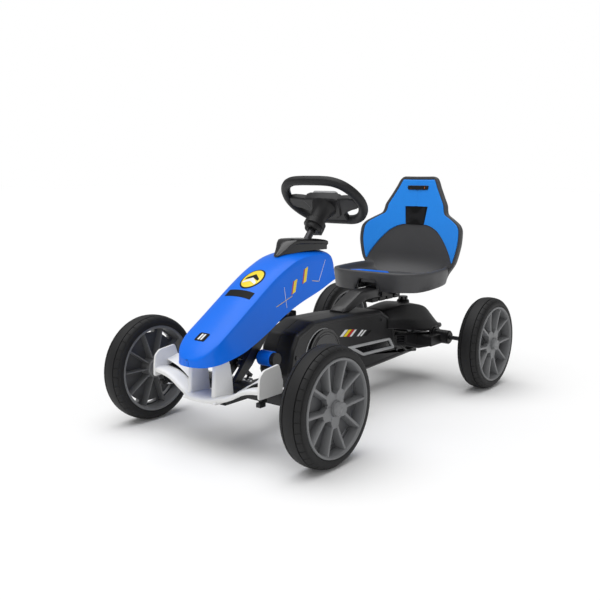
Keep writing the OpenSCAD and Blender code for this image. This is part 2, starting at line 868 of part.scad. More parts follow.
module seat_lock_knob() {
    color("#141416") placed() translate([0, 650, rail_top - 14]) {
        rod_x(4, rail_w / 2 + 0.5, rail_w / 2 + 20);
        rod_x(12, rail_w / 2 + 6 + gap, rail_w / 2 + 20);
    }
}

module selector_knob() {
    color("#141416") placed() translate([0, knob_y, 0]) {
        rod_z(6, knob_z - 26, knob_z + 6);
        rod_z(14, knob_z + 2.5, knob_z + 16);
    }
}

front_beam();
kingpins();
steering_mast();
column_bushes();
spine_tube();
rear_carrier();
axle_bushes();
crank_bushes();
seat_neck();
rail_blocks();
body_cover_left();
body_cover_right();
rear_shroud();
crank_discs();
slot_trims();
panel_screws();
nose_fairing();
column_cowl();
front_wing();
wing_endplates();
footrest_bar();
footrest_sleeves();
footrest_caps();
chain();
steering_column();
steering_hub();
steering_wheel();
steering_pad();
knuckle_left();
knuckle_right();
tie_rod_left();
tie_rod_right();
front_tyre_left();
front_tyre_right();
front_rim_left();
front_rim_right();
front_hub_cap_left();
front_hub_cap_right();
front_bushes_left();
front_bushes_right();
rear_axle();
rear_sprocket();
rear_tyre_left();
rear_tyre_right();
rear_rim_left();
rear_rim_right();
rear_hub_caps();
crank_axle();
chainring();
crank_arms();
pedal_left();
pedal_right();
seat_shell();
seat_back_panel();
seat_window();
seat_badge();
seat_slider();
seat_bolts();
seat_lock_knob();
selector_knob();
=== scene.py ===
import json
import math

import bmesh
import bpy
from mathutils import Matrix, Vector


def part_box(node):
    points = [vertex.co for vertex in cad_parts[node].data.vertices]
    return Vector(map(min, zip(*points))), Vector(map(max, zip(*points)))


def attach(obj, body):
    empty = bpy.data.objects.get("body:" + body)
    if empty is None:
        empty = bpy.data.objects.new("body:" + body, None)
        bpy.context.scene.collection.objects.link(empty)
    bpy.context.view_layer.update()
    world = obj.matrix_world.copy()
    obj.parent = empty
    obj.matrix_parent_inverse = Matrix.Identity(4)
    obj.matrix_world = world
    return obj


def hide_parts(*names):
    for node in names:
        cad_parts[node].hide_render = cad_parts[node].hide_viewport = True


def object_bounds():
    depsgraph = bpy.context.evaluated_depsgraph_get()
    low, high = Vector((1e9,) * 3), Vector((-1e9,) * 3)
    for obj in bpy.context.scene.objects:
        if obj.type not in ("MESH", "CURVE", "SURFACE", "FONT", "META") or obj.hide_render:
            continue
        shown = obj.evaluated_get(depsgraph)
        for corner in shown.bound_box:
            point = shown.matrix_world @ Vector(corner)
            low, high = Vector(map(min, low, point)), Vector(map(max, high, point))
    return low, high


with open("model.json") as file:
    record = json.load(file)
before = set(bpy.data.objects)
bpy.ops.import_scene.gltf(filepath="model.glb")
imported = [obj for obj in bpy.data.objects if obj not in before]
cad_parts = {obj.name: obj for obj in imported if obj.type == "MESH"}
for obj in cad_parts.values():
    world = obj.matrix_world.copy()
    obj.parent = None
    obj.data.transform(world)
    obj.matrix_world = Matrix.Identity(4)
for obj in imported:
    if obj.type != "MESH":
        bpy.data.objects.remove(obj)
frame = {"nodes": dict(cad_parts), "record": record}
cad_lo, cad_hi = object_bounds()

# ------------------------------------------------------------------ places
# Lengths below are in millimetres, with y = 0 at the front axle and z = 0 on the ground.
WHEEL_R = (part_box("front_tyre_left")[1][2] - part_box("front_tyre_left")[0][2]) * 500
FRONT_Y = (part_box("front_tyre_left")[0][1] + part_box("front_tyre_left")[1][1]) / 2
REAR_Y = (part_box("rear_tyre_left")[0][1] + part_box("rear_tyre_left")[1][1]) / 2
WHEELBASE = (REAR_Y - FRONT_Y) * 1000


def at(x, y, z):
    """Millimetres from the front axle to metres in the frame."""
    return Vector((x / 1000, FRONT_Y + y / 1000, z / 1000))


# ------------------------------------------------------------------ materials

def new_material(name):
    m = bpy.data.materials.new(name)
    m.use_nodes = True
    return m, m.node_tree.nodes, m.node_tree.links


def plastic(name, colour, rough=0.4, coat=0.0, grain=0.0, grain_scale=900, shade=0.06, metal=0.0,
            spec=0.5, wear=0.0):
    """Moulded plastic, paint or metal: slight colour variation, a moulded grain and uneven gloss."""
    m, nodes, links = new_material(name)
    shader = nodes["Principled BSDF"]
    shader.inputs["Metallic"].default_value = metal
    shader.inputs["Coat Weight"].default_value = coat
    shader.inputs["Coat Roughness"].default_value = 0.08
    shader.inputs["Specular IOR Level"].default_value = spec
    place = nodes.new("ShaderNodeTexCoord")
    cloud = nodes.new("ShaderNodeTexNoise")
    cloud.inputs["Scale"].default_value = 9
    cloud.inputs["Detail"].default_value = 4
    links.new(place.outputs["Object"], cloud.inputs["Vector"])
    tint = nodes.new("ShaderNodeValToRGB")
    dark = [c * (1 - shade) for c in colour]
    light = [min(1, c * (1 + shade)) for c in colour]
    tint.color_ramp.elements[0].position = 0.3
    tint.color_ramp.elements[0].color = (*dark, 1)
    tint.color_ramp.elements[1].position = 0.7
    tint.color_ramp.elements[1].color = (*light, 1)
    links.new(cloud.outputs["Fac"], tint.inputs["Fac"])
    links.new(tint.outputs["Color"], shader.inputs["Base Color"])
    gloss = nodes.new("ShaderNodeMapRange")
    gloss.inputs["To Min"].default_value = max(0.02, rough - 0.05 - wear)
    gloss.inputs["To Max"].default_value = rough + 0.05 + wear
    links.new(cloud.outputs["Fac"], gloss.inputs["Value"])
    links.new(gloss.outputs["Result"], shader.inputs["Roughness"])
    if grain:
        fine = nodes.new("ShaderNodeTexVoronoi")
        fine.inputs["Scale"].default_value = grain_scale
        links.new(place.outputs["Object"], fine.inputs["Vector"])
        bump = nodes.new("ShaderNodeBump")
        bump.inputs["Strength"].default_value = grain
        bump.inputs["Distance"].default_value = 0.0003
        links.new(fine.outputs["Distance"], bump.inputs["Height"])
        links.new(bump.outputs["Normal"], shader.inputs["Normal"])
    return m


BLUE = (0.004, 0.165, 0.86)
MATERIALS = {
    "frame_steel": plastic("black_powder_coat", (0.012, 0.012, 0.013), 0.38, grain=0.15, grain_scale=700,
                           spec=0.4),
    "bright_steel": plastic("zinc_plated_steel", (0.42, 0.43, 0.45), 0.32, metal=1.0, wear=0.05),
    "dark_steel": plastic("blackened_steel", (0.05, 0.05, 0.055), 0.35, metal=0.7),
    "black_plastic": plastic("black_grained_plastic", (0.012, 0.012, 0.013), 0.42, grain=0.25, spec=0.35),
    "gloss_black": plastic("gloss_black_plastic", (0.005, 0.005, 0.006), 0.16, coat=0.25, spec=0.4),
    "blue_plastic": plastic("gloss_blue_plastic", BLUE, 0.3, coat=0.05, shade=0.03, spec=0.2),
    "white_plastic": plastic("satin_white_plastic", (0.82, 0.82, 0.81), 0.3, shade=0.02),
    "grey_plastic": plastic("grained_grey_plastic", (0.055, 0.055, 0.058), 0.45, grain=0.35),
    "rim_plastic": plastic("satin_rim_grey", (0.17, 0.173, 0.178), 0.38, grain=0.1),
    "tyre": plastic("foam_tyre_rubber", (0.009, 0.009, 0.0095), 0.62, grain=0.4, grain_scale=600, spec=0.35),
    "trim_silver": plastic("silver_trim", (0.46, 0.47, 0.48), 0.3, metal=0.25),
    "pad_grey": plastic("satin_pad_grey", (0.3, 0.305, 0.31), 0.35),
    "bush_plastic": plastic("natural_nylon", (0.55, 0.54, 0.5), 0.45),
    "grip_rubber": plastic("soft_grip_rubber", (0.011, 0.011, 0.012), 0.5, grain=0.4, grain_scale=800,
                           spec=0.35),
}
SLOTS = {part["node"]: part["material_slot"] for part in frame["record"]["subparts"]}
BODY = {n: body for body, names in frame["record"]["behaviour"]["bodies"].items() for n in names}


def dress_frame():
    """Every CAD node that stays takes the material of its slot."""
    for name, node in frame["nodes"].items():
        node.data.materials.clear()
        node.data.materials.append(MATERIALS[SLOTS[name]])


dress_frame()


# ------------------------------------------------------------------ building pieces

MERGE = 0.00001             # metres between points of a modelled shape that are one point
CAD_MERGE = 0.00002         # the same for the mesh of a CAD node


def settle(name, mesh, body, slot, replaces, material, bevel, angle, smooth=True):
    """A ready mesh becomes a visible piece, with broken edges, that rides on a CAD body."""
    piece = bpy.data.objects.new(name, mesh)
    bpy.context.collection.objects.link(piece)
    mesh.materials.append(material or MATERIALS[slot])
    if bevel:
        edge = piece.modifiers.new("edges", "BEVEL")
        edge.width = bevel / 1000
        edge.segments = 2
        edge.limit_method = "ANGLE"
        edge.angle_limit = math.radians(angle)
        edge.use_clamp_overlap = True
    if smooth:
        mesh.shade_smooth()
        mesh.set_sharp_from_angle(angle=math.radians(angle))
    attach(piece, body)
    if replaces:
        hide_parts(*replaces)
    return piece


def make_piece(name, shape, body, slot, replaces=(), material=None, bevel=0.0, smooth=True, crease_angle=35):
    """A shape in millimetres (y from the front axle) becomes a visible piece."""
    mesh = bpy.data.meshes.new(name)
    mesh.from_pydata([at(*v) for v in shape.verts], [], shape.faces)
    mesh.validate()
    bm = bmesh.new()
    bm.from_mesh(mesh)
    bmesh.ops.remove_doubles(bm, verts=bm.verts, dist=MERGE)
    bmesh.ops.recalc_face_normals(bm, faces=bm.faces)
    bm.to_mesh(mesh)
    bm.free()
    return settle(name, mesh, body, slot, replaces, material, bevel, crease_angle, smooth)


def finished(name, bevel, material=None):
    """A CAD node's own shape with broken edges and smooth shading, in its place."""
    node = frame["nodes"][name]
    bm = bmesh.new()
    bm.from_mesh(node.data)
    bm.transform(node.matrix_world)
    bmesh.ops.remove_doubles(bm, verts=bm.verts, dist=CAD_MERGE)
    bmesh.ops.dissolve_limit(bm, angle_limit=math.radians(2), verts=bm.verts, edges=bm.edges)
    mesh = bpy.data.meshes.new(name + "_finished")
    bm.to_mesh(mesh)
    bm.free()
    settle(name + "_finished", mesh, BODY[name], SLOTS[name], [name], material, bevel, 30)


class Shape:
    """Vertices and faces gathered from several closed forms."""

    def __init__(self):
        self.verts, self.faces = [], []

    def add(self, verts, faces):
        first = len(self.verts)
        self.verts += [tuple(v) for v in verts]
        self.faces += [tuple(first + i for i in f) for f in faces]

    def moved(self, change):
        new = Shape()
        new.verts = [tuple(change(*v)) for v in self.verts]
        new.faces = list(self.faces)
        return new


def grid_faces(rows, cols, close_rows=False, close_cols=False):
    """Quads of a rows x cols grid of vertices."""
    faces = []
    for i in range(rows if close_rows else rows - 1):
        for j in range(cols if close_cols else cols - 1):
            a, b = i * cols + j, i * cols + (j + 1) % cols
            c, d = ((i + 1) % rows) * cols + (j + 1) % cols, ((i + 1) % rows) * cols + j
            faces.append((a, b, c, d))
    return faces


def loft(shape, rings, capped=True):
    """Skins equal rings of points: capped at both ends, or with the last ring joined to the first."""
    count, n = len(rings), len(rings[0])
    faces = grid_faces(count, n, not capped, True)
    if capped:
        faces += [tuple(range(n)), tuple(range(count * n - 1, (count - 1) * n - 1, -1))]
    shape.add([p for ring in rings for p in ring], faces)


def lathe(shape, profile, steps, radius_at=None):
    """Turns a profile of (along, radius) points about the x axis; steps is a count or a list of angles."""
    angles = steps if isinstance(steps, list) else [2 * math.pi * k / steps for k in range(steps)]
    verts = []
    for k, angle in enumerate(angles):
        for a, r in profile:
            r = radius_at(a, r, k) if radius_at else r
            verts.append((a, r * math.cos(angle), r * math.sin(angle)))
    shape.add(verts, grid_faces(len(angles), len(profile), True, True))


def disc(cu, cv, ru, rv, count=28):
    """A round or oval outline."""
    return [(cu + ru * math.cos(2 * math.pi * k / count), cv + rv * math.sin(2 * math.pi * k / count))
            for k in range(count)]


def laid_flat(u, v, w):
    """Places an outline flat, with w upward."""
    return u, v, w


def on_wheel(u, v, w):
    """Places an outline on a wheel: v along its radius and w along its axle."""
    return w, v, -u


def prism(shape, outline, low, high, place=lambda u, v, w: (w, u, v)):
    """A flat (u, v) outline made solid between two w levels, which may be functions of (u, v)."""
    n = len(outline)
    lift = high if callable(high) else lambda u, v: high
    drop = low if callable(low) else lambda u, v: low
    verts = [place(u, v, drop(u, v)) for u, v in outline] + [place(u, v, lift(u, v)) for u, v in outline]
    faces = [tuple(range(n)), tuple(range(2 * n - 1, n - 1, -1))]
    faces += [(i, (i + 1) % n, n + (i + 1) % n, n + i) for i in range(n)]
    shape.add(verts, faces)


def polar_plate(shape, radii, angles, solid, low, high):
    """A flat ring about the x axis with windows: cell (i, j) is there if solid(i, j)."""
    rows, cols = len(radii) - 1, len(angles)
    cells = {(i, j) for i in range(rows) for j in range(cols) if solid(i, j)}
    verts, faces = [], []

    def corner(i, j, w):
        verts.append((w, radii[i] * math.cos(angles[j % cols]), radii[i] * math.sin(angles[j % cols])))
        return len(verts) - 1

    def quad(*corners):
        faces.append(tuple(corner(*c) for c in corners))

    for i, j in cells:
        for w in (low, high):
            quad((i, j, w), (i + 1, j, w), (i + 1, j + 1, w), (i, j + 1, w))
        walls = (((i - 1, j), (i, j), (i, j + 1)), ((i + 1, j), (i + 1, j), (i + 1, j + 1)),
                 ((i, (j - 1) % cols), (i, j), (i + 1, j)), ((i, (j + 1) % cols), (i, j + 1), (i + 1, j + 1)))
        for beyond, p, q in walls:
            if beyond not in cells:
                quad((*p, low), (*q, low), (*q, high), (*p, high))
    shape.add(verts, faces)


# ------------------------------------------------------------------ wheels
LOBES = 5                   # each lobe splits into two spokes
LOBE_TURN = math.radians(54)
SPOKE_SPREAD = math.radians(18)


def tyre_shape():
    """Foam tyre: smooth middle tread, two grooves, and sipes across both shoulder bands."""
    side = [(27.6, 106.3), (28.7, 107.2), (29.3, 110), (29.5, 113), (29.3, 116.5), (28.4, 119.4),
            (27.3, 120.9), (26.7, 120.3), (26.0, 120.2), (25.5, 121.6), (24.2, 123.6), (21.5, 126.1),
            (18.2, 127.7), (15.4, 128.4), (14.8, 126.3), (13.3, 126.1), (12.7, 128.9), (7, 129.8)]
    scale = WHEEL_R / 130
    profile = [(a, r * scale) for a, r in side] + [(0, WHEEL_R)]
    profile += [(-a, r) for a, r in reversed(profile[:-1])]
    pattern = [0, 0.35, 0.75, 3.4, 6.6, 9.6]
    angles = [math.radians(10 * sipe + p) for sipe in range(36) for p in pattern]

    def cut(a, r, k):
        on_band = 15.2 < abs(a) < 25.7
        return r - 1.3 if on_band and k % len(pattern) < 2 else r

    shape = Shape()
    lathe(shape, profile, angles, radius_at=cut)
    return shape


def turned(shape, source, angle):
    """Adds a copy of a form, turned about the x axis."""
    c, s = math.cos(angle), math.sin(angle)
    shape.add([(x, y * c - z * s, y * s + z * c) for x, y, z in source.verts], source.faces)


def rim_shape():
    """Ten spokes in five pairs over a recessed web with slots near the rim, and ribs inside."""
    shape = Shape()
    barrel = [(-27, 105.9), (27, 105.9), (29.6, 105.6), (31, 104.3), (31, 101.8), (30.2, 100.6),
              (28.4, 100.2), (27.6, 99.2), (22, 98.2), (6, 96.4), (-18, 97.4), (-25, 98.6), (-27, 100.6)]
    lathe(shape, barrel, 120)
    angles = [math.radians(3 * k) for k in range(120)]

    def web_is_solid(i, j):
        off_spoke = abs((math.degrees(angles[j]) + 1.5 + 18) % 36 - 18)
        return i != 1 or off_spoke < 6

    polar_plate(shape, [24, 86, 93.5, 98], angles, web_is_solid, 3, 6)
    # hub with the pocket for the cap, and the boss round the bushes
    lathe(shape, [(-23.5, 10.2), (-23.5, 22), (-21, 24), (-6, 24.5), (4, 27), (19, 26.5), (20.5, 25),
                  (20.5, 17.5), (27, 17.3), (27, 15.6), (20, 15.6), (20, 10.2)], 60)
    spoke, lobe, lug, rib = Shape(), Shape(), Shape(), Shape()
    inner_r, outer_r = 34, 99.5
    for side in (-1, 1):
        foot = (side * 5.5, inner_r)
        tip = (side * outer_r * math.sin(SPOKE_SPREAD), outer_r * math.cos(SPOKE_SPREAD))
        along = Vector((tip[0] - foot[0], tip[1] - foot[1])).normalized()
        across = Vector((along[1], -along[0]))
        rings = []
        for t, top in ((0, 22.5), (0.25, 22.8), (0.5, 23.8), (0.75, 25.4), (1, 27.5)):
            mid = Vector(foot).lerp(Vector(tip), t)
            for w, a in ((-5.6, 4.5), (-3.4, top - 1.2), (-2.4, top), (2.4, top), (3.4, top - 1.2),
                         (5.6, 4.5)):
                p = mid + across * w
                rings.append((a, p[1], -p[0]))
        spoke.add(rings, grid_faces(5, 6, False, True) + [tuple(range(6)), tuple(range(24, 30))])
    prism(lobe, [(-12, 15), (-15, 24), (-14, 31), (-11.5, 38), (-6, 43), (6, 43), (11.5, 38), (14, 31),
                 (15, 24), (12, 15)], 8, lambda u, v: 23.5 - 0.03 * v, on_wheel)
    prism(lug, disc(0, 27, 4, 4, 6), 17, 22, on_wheel)
    prism(rib, [(-1.2, 22), (-1.2, 98), (1.2, 98), (1.2, 22)], lambda u, v: -20 + 0.08 * (v - 22), 4,
          on_wheel)
    for k in range(LOBES):
        angle = LOBE_TURN + k * 2 * math.pi / LOBES
        turned(shape, spoke, angle)
        turned(shape, lobe, angle)
        turned(shape, lug, angle + math.pi / LOBES)
        turned(shape, rib, angle + SPOKE_SPREAD)
        turned(shape, rib, angle - SPOKE_SPREAD)
    return shape


def cap_shape():
    """A domed hub cap with five raised bars."""
    shape = Shape()
    lathe(shape, [(23, 13), (23, 15.4), (28.5, 15.4), (30, 14.4), (31.2, 11.5), (31.9, 7), (32, 3),
                  (32, 0.02), (30, 0.02), (29, 9), (26, 13)], 48)
    bar = Shape()
    prism(bar, [(-1.6, 5), (-1.1, 11.5), (1.1, 11.5), (1.6, 5)], 29, 32.2, on_wheel)
    for k in range(LOBES):
        turned(shape, bar, 2 * math.pi * k / LOBES)
    return shape


def make_wheels():
    tyre, rim, cap = tyre_shape(), rim_shape(), cap_shape()
    # painted shade: the recessed web of each rim takes a darker grey than the rest of the rim, standing in
    # for the shade that falls into the recess
    rim_recess_shade = plastic("rim_recess_painted_shade", (0.08, 0.082, 0.086), 0.45)
    for end in ("front", "rear"):
        for side, sign in (("left", 1), ("right", -1)):
            name = f"{end}_tyre_{side}"
            lo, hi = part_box(name)
            cx, cy, cz = ((a + b) / 2 for a, b in zip(lo, hi))
            x0, y0, z0 = cx * 1000, (cy - FRONT_Y) * 1000, cz * 1000

            def place(x, y, z):
                return x0 + sign * x, y0 + y, z0 + z

            body = BODY[name]
            made = tyre.moved(place)
            make_piece(f"{end}_tyre_{side}_tread", made, body, "tyre", [name])
            made = rim.moved(place)
            piece = make_piece(f"{end}_rim_{side}_spoked", made, body, "rim_plastic",
                               [f"{end}_rim_{side}"], bevel=0.7)
            # the recessed web's faces, 2.5 to 6.5 mm out along the axle, take the painted-shade grey
            piece.data.materials.append(rim_recess_shade)
            for polygon in piece.data.polygons:
                low, high = x0 + sign * 2.5, x0 + sign * 6.5
                if min(low, high) < polygon.center.x * 1000 < max(low, high):
                    polygon.material_index = 1
            made = cap.moved(place)
            hidden = f"front_hub_cap_{side}" if end == "front" else "rear_hub_caps"
            make_piece(f"{end}_cap_{side}_domed", made, body, "rim_plastic", [hidden],
                       bevel=0.3)


make_wheels()


# ------------------------------------------------------------------ shared forms

def blend_table(table, y):
    """Straight steps between the (y, value) rows of a table."""
    if y <= table[0][0]:
        return table[0][1]
    for (y0, a), (y1, b) in zip(table, table[1:]):
        if y <= y1:
            return a + (b - a) * (y - y0) / (y1 - y0)
    return table[-1][1]


def smooth_table(table, y):
    """A smooth curve through the (y, value) rows of a table."""
    y = min(max(y, table[0][0]), table[-1][0])
    k = max(i for i in range(len(table) - 1) if table[i][0] <= y)
    (y0, a), (y1, b) = table[k], table[k + 1]

    def slope(i):
        lo, hi = max(i - 1, 0), min(i + 1, len(table) - 1)
        return (table[hi][1] - table[lo][1]) / (table[hi][0] - table[lo][0])

    t, h = (y - y0) / (y1 - y0), y1 - y0
    m0, m1 = slope(k) * h, slope(k + 1) * h
    return ((2 * t ** 3 - 3 * t ** 2 + 1) * a + (t ** 3 - 2 * t ** 2 + t) * m0
            + (3 * t ** 2 - 2 * t ** 3) * b + (t ** 3 - t ** 2) * m1)


def spaced(low, high, count):
    """Equal steps from low to high, both included."""
    return [low + (high - low) * i / (count - 1) for i in range(count)]


def rounded_corner(before, here, after, radius, steps):
    """Points of an arc that touches both sides radius away from the corner, or less on short sides."""
    here = Vector(here)
    back, on = Vector(before) - here, Vector(after) - here
    r = min(radius, back.length * 0.45, on.length * 0.45)
    a, b = here + back.normalized() * r, here + on.normalized() * r
    arc = []
    for k in range(steps + 1):
        t = k / steps
        arc.append(tuple(a * (1 - t) ** 2 + here * 2 * t * (1 - t) + b * t ** 2))
    return arc


def rounded_loop(corners, radius, steps=5):
    """A closed outline with rounded corners."""
    n, points = len(corners), []
    for i in range(n):
        points += rounded_corner(corners[i - 1], corners[i], corners[(i + 1) % n], radius, steps)
    return points


def densified(outline, pitch):
    """The same closed outline, its longer sides cut into steps of about one pitch."""
    dense = []
    for a, b in zip(outline, outline[1:] + outline[:1]):
        steps = max(1, int(math.dist(a, b) / pitch))
        dense += [(a[0] + (b[0] - a[0]) * k / steps, a[1] + (b[1] - a[1]) * k / steps) for k in range(steps)]
    return dense


def both(half):
    """An outline from its right half, whose first and last points lie on the middle line."""
    return half + [(-u, *rest) for u, *rest in reversed(half) if abs(u) > 0.01]


def skin(shape, rows, outside, inside):
    """A closed wall between two grids of points that have the same number of rows and columns."""
    cols = len(outside[0])
    top = [p for row in outside for p in row]
    base = [p for row in inside for p in row]
    n = len(top)
    faces = grid_faces(rows, cols)
    back = [tuple(n + i for i in reversed(f)) for f in faces]
    rim = list(range(cols)) + [i * cols + cols - 1 for i in range(1, rows)]
    rim += [(rows - 1) * cols + j for j in range(cols - 2, -1, -1)] + [i * cols
                                                                       for i in range(rows - 2, 0, -1)]
    edge = [(rim[k], rim[(k + 1) % len(rim)], n + rim[(k + 1) % len(rim)], n + rim[k])
            for k in range(len(rim))]
    shape.add(top + base, faces + back + edge)


def patch(shape, outline, surface, lift, thick, rings=4):
    """A thin sticker: a star-shaped outline laid on a surface(u, v, height)."""
    cu, cv = sum(p[0] for p in outline) / len(outline), sum(p[1] for p in outline) / len(outline)
    outline = densified(outline, 3)
    n = len(outline)
    layers = []
    for height in (lift + thick, lift):
        points = []
        for r in range(1, rings + 1):
            t = r / rings
            points += [surface(cu + (u - cu) * t, cv + (v - cv) * t, height) for u, v in outline]
        layers.append(points + [surface(cu, cv, height)])
    top, base = layers
    m = len(top)
    faces = []
    for r in range(rings - 1):
        for i in range(n):
            a, b = r * n + i, r * n + (i + 1) % n
            faces.append((a, b, b + n, a + n))
    faces += [(i, (i + 1) % n, m - 1) for i in range(n)]
    faces += [tuple(m + i for i in reversed(f)) for f in faces]
    last = (rings - 1) * n
    faces += [(last + i, last + (i + 1) % n, m + last + (i + 1) % n, m + last + i) for i in range(n)]
    shape.add(top + base, faces)


STICKER_YELLOW = plastic("sticker_yellow", (0.95, 0.72, 0.01), 0.3, coat=0.3)
STICKER_BLACK = plastic("sticker_black", (0.004, 0.004, 0.0045), 0.5, spec=0.15)
STICKER_WHITE = plastic("sticker_white", (0.85, 0.86, 0.87), 0.3, coat=0.3)
STICKER_RED = plastic("sticker_red", (0.55, 0.012, 0.008), 0.3, coat=0.3)


# ------------------------------------------------------------------ nose fairing
NOSE_TIP = (cad_lo[1] - FRONT_Y) * 1000
NOSE_TOP = [(NOSE_TIP, 213), (-127, 221), (-118, 231), (-104, 243), (-89, 254), (-40, 287.5), (10, 322),
            (62, 357), (110, 384), (162, 407.5), (190, 415), (220, 419), (260, 420), (296, 419.5), (306, 415),
            (313, 407), (318, 394)]
NOSE_CREASE = [(NOSE_TIP, 210), (-127, 216), (-118, 225), (-104, 237), (-77, 257), (-40, 281), (10, 314),
               (62, 348), (110, 376), (165, 400), (200, 408), (240, 411), (296, 410), (306, 405), (313, 396),
               (318, 384)]
NOSE_LOWER = [(NOSE_TIP, 197), (-118, 197.5), (-100, 200), (-79, 203), (-17, 217), (59, 248), (117, 278),
              (178, 301), (255, 323), (300, 339), (318, 345)]


def nose_half(y, inset=0.0):
    """Half width of the fairing at its crease: a round nose that runs out straight."""
    length, tip = 66, NOSE_TIP + inset
    t = min(1, max(0, (y - tip) / length))
    return (56 - inset) * (1 - (1 - t) ** 2.5) ** (1 / 2.2)


def nose_row(y, inset):
    """One cross-section of the fairing, from its lower left edge over the top to the lower right."""
    w = nose_half(y, inset)
    flare = 6 * min(1, max(0, (y - NOSE_TIP) / 120))
    crease, top = smooth_table(NOSE_CREASE, y) - inset, smooth_table(NOSE_TOP, y) - inset
    low = smooth_table(NOSE_LOWER, y)
    side = [(w + flare * (1 - t ** 0.8), low + (crease - 3 - low) * t) for t in (0, 0.15, 0.35, 0.6, 0.85, 1)]
    ridge = [(w - 0.5, crease - 0.9), (w - 2.5, crease + 0.4)]
    ridge += [(w * f, crease + (top - crease) * (1 - f ** 2.4)) for f in (0.86, 0.7, 0.5, 0.25, 0)]
    half = [(max(0, x), z) for x, z in side + ridge]
    return [(-x, y, z) for x, z in half[:-1]] + [(0, y, half[-1][1])] + [(x, y, z)
                                                                         for x, z in reversed(half[:-1])]


def fairing_top(x, y, height):
    """A point of the top face, lifted square to its slope."""
    w = nose_half(y)
    crease, top = smooth_table(NOSE_CREASE, y), smooth_table(NOSE_TOP, y)
    z = crease + (top - crease) * (1 - min(1, abs(x) / w) ** 2.4)
    slope = (smooth_table(NOSE_TOP, y + 2) - smooth_table(NOSE_TOP, y - 2)) / 4
    steep = math.hypot(1, slope)
    return x, y - height * slope / steep, z + height / steep


def fairing_side(y, z, height):
    """A point of the left side face, lifted outward."""
    crease, low = smooth_table(NOSE_CREASE, y), smooth_table(NOSE_LOWER, y)
    t = min(1, max(0, (z - low) / (crease - 3 - low)))
    return nose_half(y) + 6 * (1 - t ** 0.8) + height, y, z


def make_fairing():
    tip = NOSE_TIP
    stations = [tip, tip + 0.4, tip + 1.5, tip + 3.5, tip + 6.5, tip + 11, tip + 17, tip + 25, tip + 35,
                tip + 47]
    stations += spaced(tip + 60, 296, 40) + [300, 304, 307.5, 310.5, 313, 315.5, 318]
    outside = [nose_row(y, 0) for y in stations]
    inside = [nose_row(min(max(y, tip + 3.2), 315), 3) for y in stations]
    shape = Shape()
    skin(shape, len(stations), outside, inside)
    # the closed rear end
    last = outside[-1]
    n = len(last)
    shape.add(last + [(x, y - 3, z) for x, y, z in last],
              [tuple(range(n)), tuple(range(2 * n - 1, n - 1, -1))]
              + [(i, (i + 1) % n, n + (i + 1) % n, n + i) for i in range(n)])
    # a web behind the very tip
    shape.add([(x, y, z) for x in (-3.5, 3.5) for y in (tip - 0.1, tip + 3)
               for z in (197.2, smooth_table(NOSE_CREASE, tip) + 1)],
              [(0, 1, 3, 2), (4, 6, 7, 5), (0, 4, 5, 1), (2, 3, 7, 6), (0, 2, 6, 4), (1, 5, 7, 3)])
    # the floor behind the nose, where the wing pillars end
    floor = [y for y in stations if tip + 3 < y < -15]
    plate = [[(x * (nose_half(y) + 1), y, smooth_table(NOSE_LOWER, y) + 1) for x in spaced(-1, 1, 9)]
             for y in floor]
    skin(shape, len(floor), [[(x, y, z + 2.5) for x, y, z in row] for row in plate], plate)
    make_piece("nose_fairing_shell", shape, BODY["nose_fairing"], "blue_plastic",
               ["nose_fairing"], crease_angle=40)


def sticker(name, outline, surface, lift, material, rings=4):
    """A quarter of a millimetre of film on the nose fairing."""
    shape = Shape()
    patch(shape, outline, surface, lift, 0.25, rings)
    make_piece(name, shape, BODY["nose_fairing"], "gloss_black", material=material)


def make_fairing_stickers():
    """A plain round badge with a bar, a small front plate and two stripes with thin lines."""
    sticker("badge_ring", disc(2, 76, 29, 31), fairing_top, 0.3, STICKER_BLACK)
    sticker("badge_face", disc(2, 76, 25.5, 27.5), fairing_top, 0.6, STICKER_YELLOW)
    for k, low in enumerate((60, 71)):
        arrow = [(-17, low), (2, low + 13), (21, low), (21, low + 6), (2, low + 19), (-17, low + 6)]
        sticker(f"badge_chevron_{k}", arrow, fairing_top, 0.9,
                STICKER_BLACK if k else STICKER_WHITE, 3)
    sticker("badge_bar", [(-36, 22), (40, 22), (40, 40), (-36, 40)], fairing_top, 0.3, STICKER_BLACK, 6)
    plate = rounded_loop([(-15, -98), (15, -98), (17, -78), (-13, -78)], 4, 3)
    sticker("front_plate", plate, fairing_top, 0.3, STICKER_BLACK)
    for u in (-7, 1):
        sticker(f"front_plate_mark_{u + 7}", [(u, -95), (u + 5, -95), (u + 7, -81), (u + 2, -81)],
                fairing_top, 0.6,
                STICKER_WHITE, 3)
    for y, z, size in ((150, 326, 30), (192, 347, 34)):
        stripe = [(y, z), (y + 11, z + 4), (y + 20, z + size + 4), (y + 9, z + size)]
        sticker(f"side_stripe_{y}", stripe, fairing_side, 0.3, STICKER_YELLOW, 3)
        edge = [(y - 4, z - 1), (y - 1.2, z), (y + 7.8, z + size), (y + 5, z + size - 1)]
        sticker(f"side_stripe_edge_{y}", edge, fairing_side, 0.3, STICKER_RED, 3)
    lines = [((92, 303), (150, 322)), ((128, 296), (122, 345)), ((226, 350), (252, 346)),
             ((252, 346), (282, 396))]
    for k, ((y0, z0), (y1, z1)) in enumerate(lines):
        along = Vector((y1 - y0, z1 - z0)).normalized() * 0.5
        line = [(y0 - along[1], z0 + along[0]), (y1 - along[1], z1 + along[0]),
                (y1 + along[1], z1 - along[0]), (y0 + along[1], z0 - along[0])]
        sticker(f"side_line_{k}", line, fairing_side, 0.3, STICKER_WHITE if k % 2 else STICKER_YELLOW, 8)


# ------------------------------------------------------------------ column cowl

